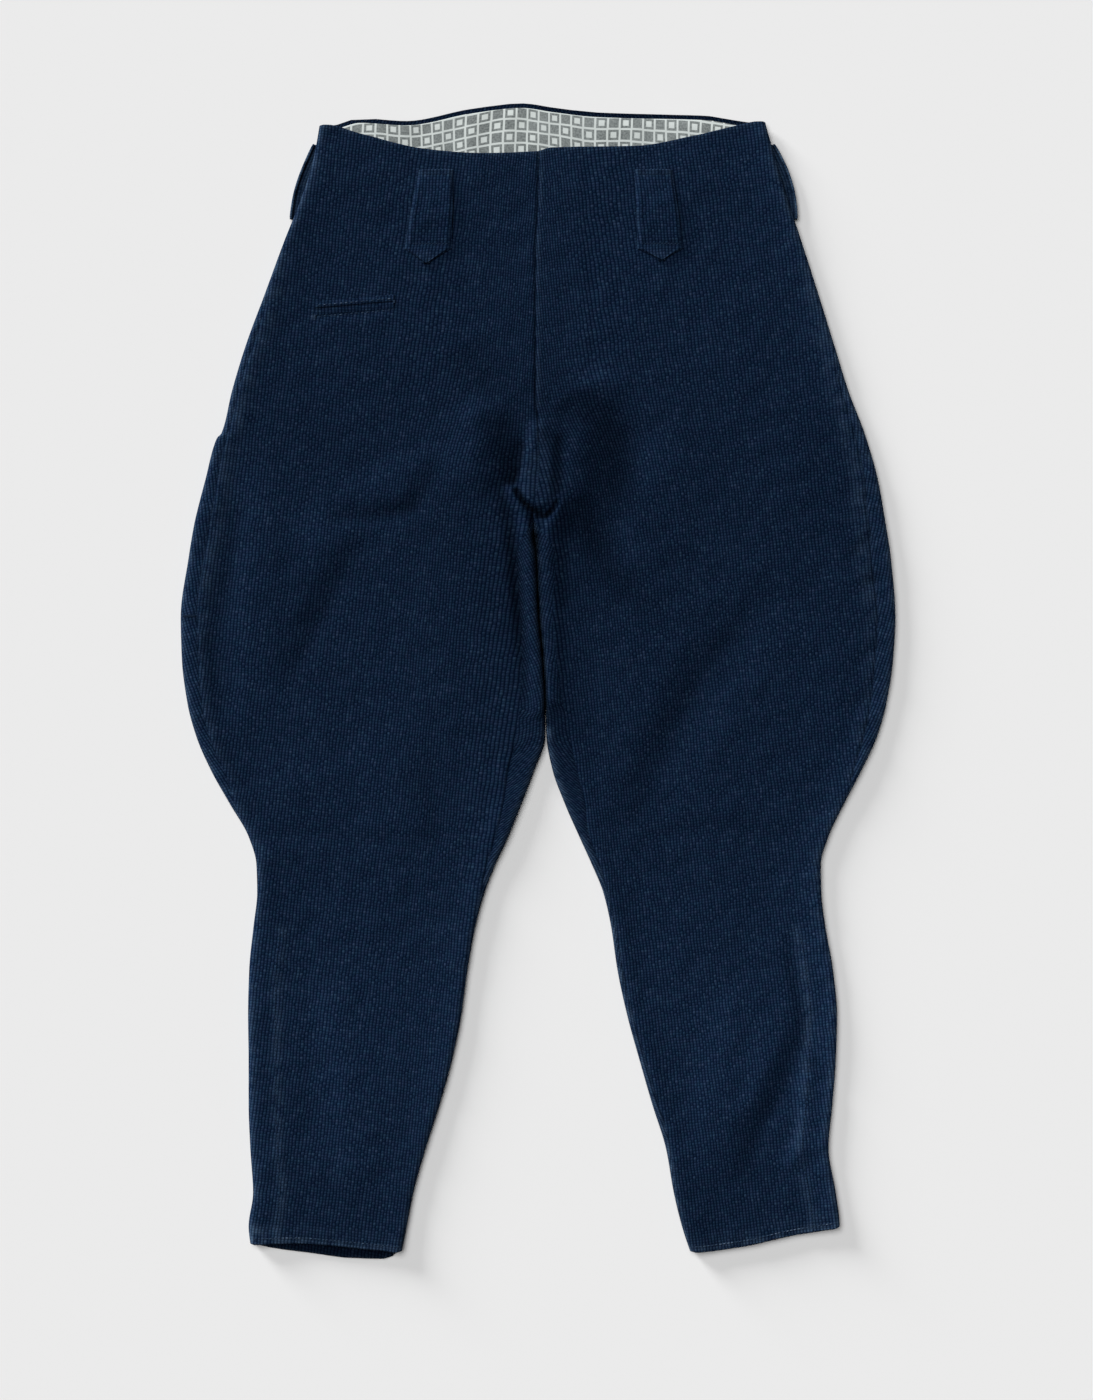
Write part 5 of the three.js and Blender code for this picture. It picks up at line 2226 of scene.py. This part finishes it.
@dataclass
class JettedPocket:
    """The pocket on the right front: two lips round its mouth, stitched round."""

    finishes: Finishes
    cut: Cut
    outer: tuple[float, float] = (-200, 334)
    inner: tuple[float, float] = (-129, 340.5)
    lip: float = 6.0
    cloth: float = 1.1
    thin: float = 0.35
    thins: tuple[float, float] = (0.35, 1.0)  # parts of the lip, out from its sewn edge
    mouth: float = 0.2
    clear: float = 0.1
    crown_worn: Band = Band(0.06, 1.8)
    crown: float = 0.4
    end_worn: Band = Band(0.3, 0.04)
    pale: tuple[float, float] = (0.18, 0.06)  # of the lower and the upper lip
    # Painted shade in the pocket's mouth between the lips.
    mouth_shade: float = 1.15
    edge_width: float = 1.5
    edge_narrows: float = 0.8
    # Painted shade along the lower edge of the lower lip.
    foot_dark: Band = Band(-0.3, 0.8)
    row_above: float = 2.6  # from the mouth to the upper row of stitches
    row_below: float = 1.4  # from the lower lip to its row
    row_in: float = 0.02  # of the mouth's length, at the rows' two ends
    row_pitch: float = 4.8
    row_stitch: float = 2.4
    outer_tack: tuple[float, float] = (-8.4, -5.6)  # its two ends, up from the mouth
    inner_tack: tuple[float, float] = (-1.6, 1.0)
    tack_pitch: float = 0.9
    tack_stitch: float = 2.0
    corners: int = 30
    columns: int = 41
    rows: int = 11
    rounding: float = 0.2
    first_seed: int = 5

    def line(self, t: Array) -> tuple[Array, Array]:
        """Place of the mouth, from 0 at its outer end to 1."""
        return tuple(a + (b - a) * t for a, b in zip(self.outer, self.inner))

    def lip_sheet(self, side: int) -> Sheet:
        """One lip, above (1) or below (-1) the mouth.

        Args:
            side: Which lip.

        Returns:
            The sheet of that lip.
        """
        t = np.linspace(0, 1, self.columns)[None, :]
        out = np.linspace(0, 1, self.rows)[:, None]
        down = 1 - out if side > 0 else out
        x, mouth_y = self.line(t)
        x = x + 0 * out
        y = mouth_y + side * (down * self.lip + self.mouth / 2)
        cloth = self.cloth - (self.cloth - self.thin) * step(down, *self.thins) + 0 * x
        z = RIGHT.top(x, y) + self.clear + cloth
        wear = self.crown_worn.at((down - self.crown) * self.lip) + self.end_worn.at(t)
        # Painted shade at the mouth, and along the lower lip's lower edge.
        edge = bump(down * self.lip, self.edge_width - self.edge_narrows * t)
        foot = self.foot_dark.at((1 - down) * self.lip) * (1 - t) * (side < 0)
        fade = self.pale[side > 0] - self.mouth_shade * edge + foot
        return Sheet(
            x, y, z, x, y, fade, wear, flip=False, cloth=cloth, round_out=self.rounding,
        )

    def height(self, x: Array, y: Array) -> Array:
        """Height of the lips' upper face near the mouth."""
        return RIGHT.top(x, y) + self.clear + self.cloth

    def build(self, needle: Needle) -> None:
        """Builds the lips, the stitches round them and the tacks at the ends of the mouth.

        Args:
            needle: Sews the stitches.
        """
        rows = []
        x, y = self.line(np.linspace(self.row_in, 1 - self.row_in, self.corners))
        for side, name, away, height in (
            (1, "upper", self.row_above, self.height),
            (-1, "lower", self.lip + self.row_below, RIGHT.top),
        ):
            path = np.stack([x, y + side * away], 1)
            rows.append(needle.sew(
                f"welt_{name}_stitches", path, height, pitch=self.row_pitch,
                length=self.row_stitch, seed=self.first_seed + side,
            ))
        for end, name, (low, high) in (
            (0.0, "outer", self.outer_tack), (1.0, "inner", self.inner_tack),
        ):
            x, y = self.line(np.array(end))
            path = np.array([[x, y + low], [x, y + high]], float)
            rows.append(needle.sew(
                f"welt_{name}_tack", path, self.height, pitch=self.tack_pitch,
                length=self.tack_stitch, across=True,
            ))
        for side, name, sewn in ((1, "upper", rows[:2]), (-1, "lower", rows[2:])):
            piece = dress(self.lip_sheet(side), f"welt_{name}", self.finishes.band)
            self.cut.declare(piece, ("front_right_cloth",), Hold.FOLDED, tuple(sewn))


@dataclass
class WaistFacing:
    """The printed facing inside the back at the waist."""

    finishes: Finishes
    cut: Cut
    below_edge: float = 4.4
    foot: float = 452.0
    side: float = 7.5
    under: float = CLOTH + 0.35
    ahead: float = 0.1  # how much sooner than the back it rises, over half its width
    waves: Waves = Waves(0.35, 38, 41)
    flat_edge: float = 0.12  # part of its length over which the waves start
    print_across: Waves = Waves(1.2, 90, 7)
    print_along: Waves = Waves(1.0, 70, 9)
    columns: int = 141
    first_rows: tuple[float, ...] = (0, 0.01, 0.025, 0.05)  # parts of its length
    next_row: float = 0.09
    rows: int = 18

    def lift(self, x: Array, y: Array) -> Array:
        """How far the back under the facing is raised over the side loops.

        Args:
            x: Places across.
            y: Places along.

        Returns:
            One height for each place.
        """
        left = x >= along(MIDLINE, y)
        outer = np.where(left, LEFT.outer(y), RIGHT.outer(y))
        half = (outer + along(MIDLINE, y)) / 2
        run = np.abs(outer - half) - ON_FLOOR[-1]
        out = np.abs(x - half) * np.sign((x - half) * outer) / run
        return SIDE_LOOP.lift * np.clip(out + self.ahead, 0, 1)

    def build(self) -> bpy.types.Object:
        """Builds the facing.

        Returns:
            The finished piece.
        """
        t = np.linspace(0, 1, self.columns)[None, :]
        down = [*self.first_rows, *np.linspace(self.next_row, 1, self.rows)]
        down = np.array(down)[:, None]

        def across(y: Array) -> Array:
            """Places across of all the columns."""
            start, end = RIGHT.outer(y) + self.side, LEFT.outer(y) - self.side
            return start + (end - start) * t

        top = along(WAIST_BACK, across(np.full((1, 1), WAIST_Y))) - self.below_edge
        y = top + (self.foot - top) * down
        x = across(y)
        waves = (self.waves.at(x, y) + self.waves.height) * step(down, 0, self.flat_edge)
        z = self.under + FACING_CLOTH + self.lift(x, y) + waves
        u, v = x + self.print_across.at(x, y), y - top + self.print_along.at(x, y)
        sheet = Sheet(x, y, z, u, v, 0 * x, 0 * x, flip=False, cloth=FACING_CLOTH)
        piece = dress(sheet, "waist_facing", self.finishes.facing)
        self.cut.declare(piece, ("back_right_cloth", "back_left_cloth"))
        return piece


@dataclass
class Hem:
    """The row of stitches that holds one turned hem."""

    leg: Leg
    clear: float = 3.0  # between its ends and the leg's edges
    corners: int = 40
    first_seed: int = 51

    def build(self, needle: Needle) -> bpy.types.Object:
        """Sews the row over the front.

        Args:
            needle: Sews the stitches.

        Returns:
            The row of stitches.
        """
        leg = self.leg
        at = np.array(HEM_Y)
        clear = leg.side * self.clear
        x = np.linspace(float(leg.outer(at)) - clear, float(leg.inner(at)) + clear, self.corners)
        path = np.stack([x, along(HEM_FRONT, x) + HEM_STITCH], 1)
        seed = self.first_seed + leg.side
        return needle.sew(f"hem_{leg.name}_stitches", path, leg.top, seed=seed)


# ---------------------------------------------------------------- studio

@dataclass(frozen=True)
class Sun:
    """A soft light from the upper left."""

    name: str
    strength: float
    height: float
    spread: float
    turn: float = 45.0

    def build(self) -> None:
        """Builds the light, turned so that it comes down at its height."""
        light = bpy.data.lights.new(self.name, "SUN")
        light.energy = self.strength
        light.angle = math.radians(self.spread)
        holder = bpy.data.objects.new(self.name, light)
        holder.rotation_euler = (math.radians(self.height - 90), 0, math.radians(self.turn))
        bpy.context.scene.collection.objects.link(holder)


@dataclass(frozen=True)
class Studio:
    """A plain pale floor, two soft lights, a little fill, and a camera that looks straight down."""

    floor_side: float = 12.0
    floor_colour: Colour = (0.82, 0.82, 0.82, 1)
    suns: tuple[Sun, ...] = (Sun("Key", 2.45, 66, 46), Sun("Rake", 3.75, 13, 20))
    fill: float = 0.03
    target: tuple[float, float] = (0.0076, -0.0170)
    frame_height: float = 1.26
    lens: float = 70.0
    sensor: float = 36.0

    def build(self) -> None:
        """Builds the floor, the lights and the camera."""
        self.floor()
        self.lights()
        camera = bpy.data.cameras.new("Camera")
        camera.lens = self.lens
        camera.sensor_width = self.sensor
        camera.clip_start = 0.05
        holder = bpy.data.objects.new("Camera", camera)
        holder.location = (*self.target, self.frame_height * self.lens / self.sensor)
        bpy.context.scene.collection.objects.link(holder)
        bpy.context.scene.camera = holder
        bpy.context.scene.view_settings.view_transform = "Standard"

    def floor(self) -> None:
        """Builds the floor with a faint evenness of paper."""
        bpy.ops.object.select_all(action="DESELECT")
        bpy.ops.mesh.primitive_plane_add(size=self.floor_side, location=(0, 0, -0.0004))
        plane = bpy.context.object
        plane.name = "Floor"
        bpy.ops.object.transform_apply(location=True, rotation=True, scale=True)
        material, tree, shader = new_material("Paper floor")
        tree.feed(shader.inputs["Base Color"], self.floor_colour)
        shader.inputs["Roughness"].default_value = 0.95
        shader.inputs["Specular IOR Level"].default_value = 0.1
        plane.data.materials.append(material)

    def lights(self) -> None:
        """Builds the lights and the even fill."""
        for sun in self.suns:
            sun.build()
        world = bpy.data.worlds.new("Fill")
        world.use_nodes = True
        world.node_tree.nodes["Background"].inputs[0].default_value = (1, 1, 1, 1)
        world.node_tree.nodes["Background"].inputs[1].default_value = self.fill
        bpy.context.scene.world = world


# ---------------------------------------------------------------- assembly

FRONT_CUT = Cut(320, 1020, 226000)
BACK_CUT = Cut(360, 1045, 262000)
PLACKET_CUT = Cut(31, 287, 8700)
POCKET_CUT = Cut(20, 163, 2600)
FRONT_LOOP_CUT = Cut(42, 84, 3300)
SIDE_LOOP_CUT = Cut(39, 72, 2750)
LIP_CUT = Cut(10, 71, 485)
FACING_CUT = Cut(385, 68, 21000)


def main() -> None:
    """Builds every piece in order."""
    Studio().build()
    finishes = Finishes.build()
    needle = Needle(finishes.thread)
    worn_needle = Needle(finishes.worn_thread)
    for leg in (RIGHT, LEFT):
        back = Back(leg, finishes, BACK_CUT)
        back.build()
        front = Front(leg, finishes, FRONT_CUT)
        front.build()
        CalfPlacket(front, finishes, PLACKET_CUT).build(needle)
        FrontLoop(leg, finishes, FRONT_LOOP_CUT).build(needle)
        SideLoop(leg, finishes, SIDE_LOOP_CUT).build()
        Hem(leg).build(worn_needle)
        if leg is RIGHT:
            SidePocket(back, finishes, POCKET_CUT).build(needle)
    JettedPocket(finishes, LIP_CUT).build(worn_needle)
    WaistFacing(finishes, FACING_CUT).build()


if __name__ == "__main__":
    logging.basicConfig(level=logging.INFO, format="%(name)s %(message)s")
    main()
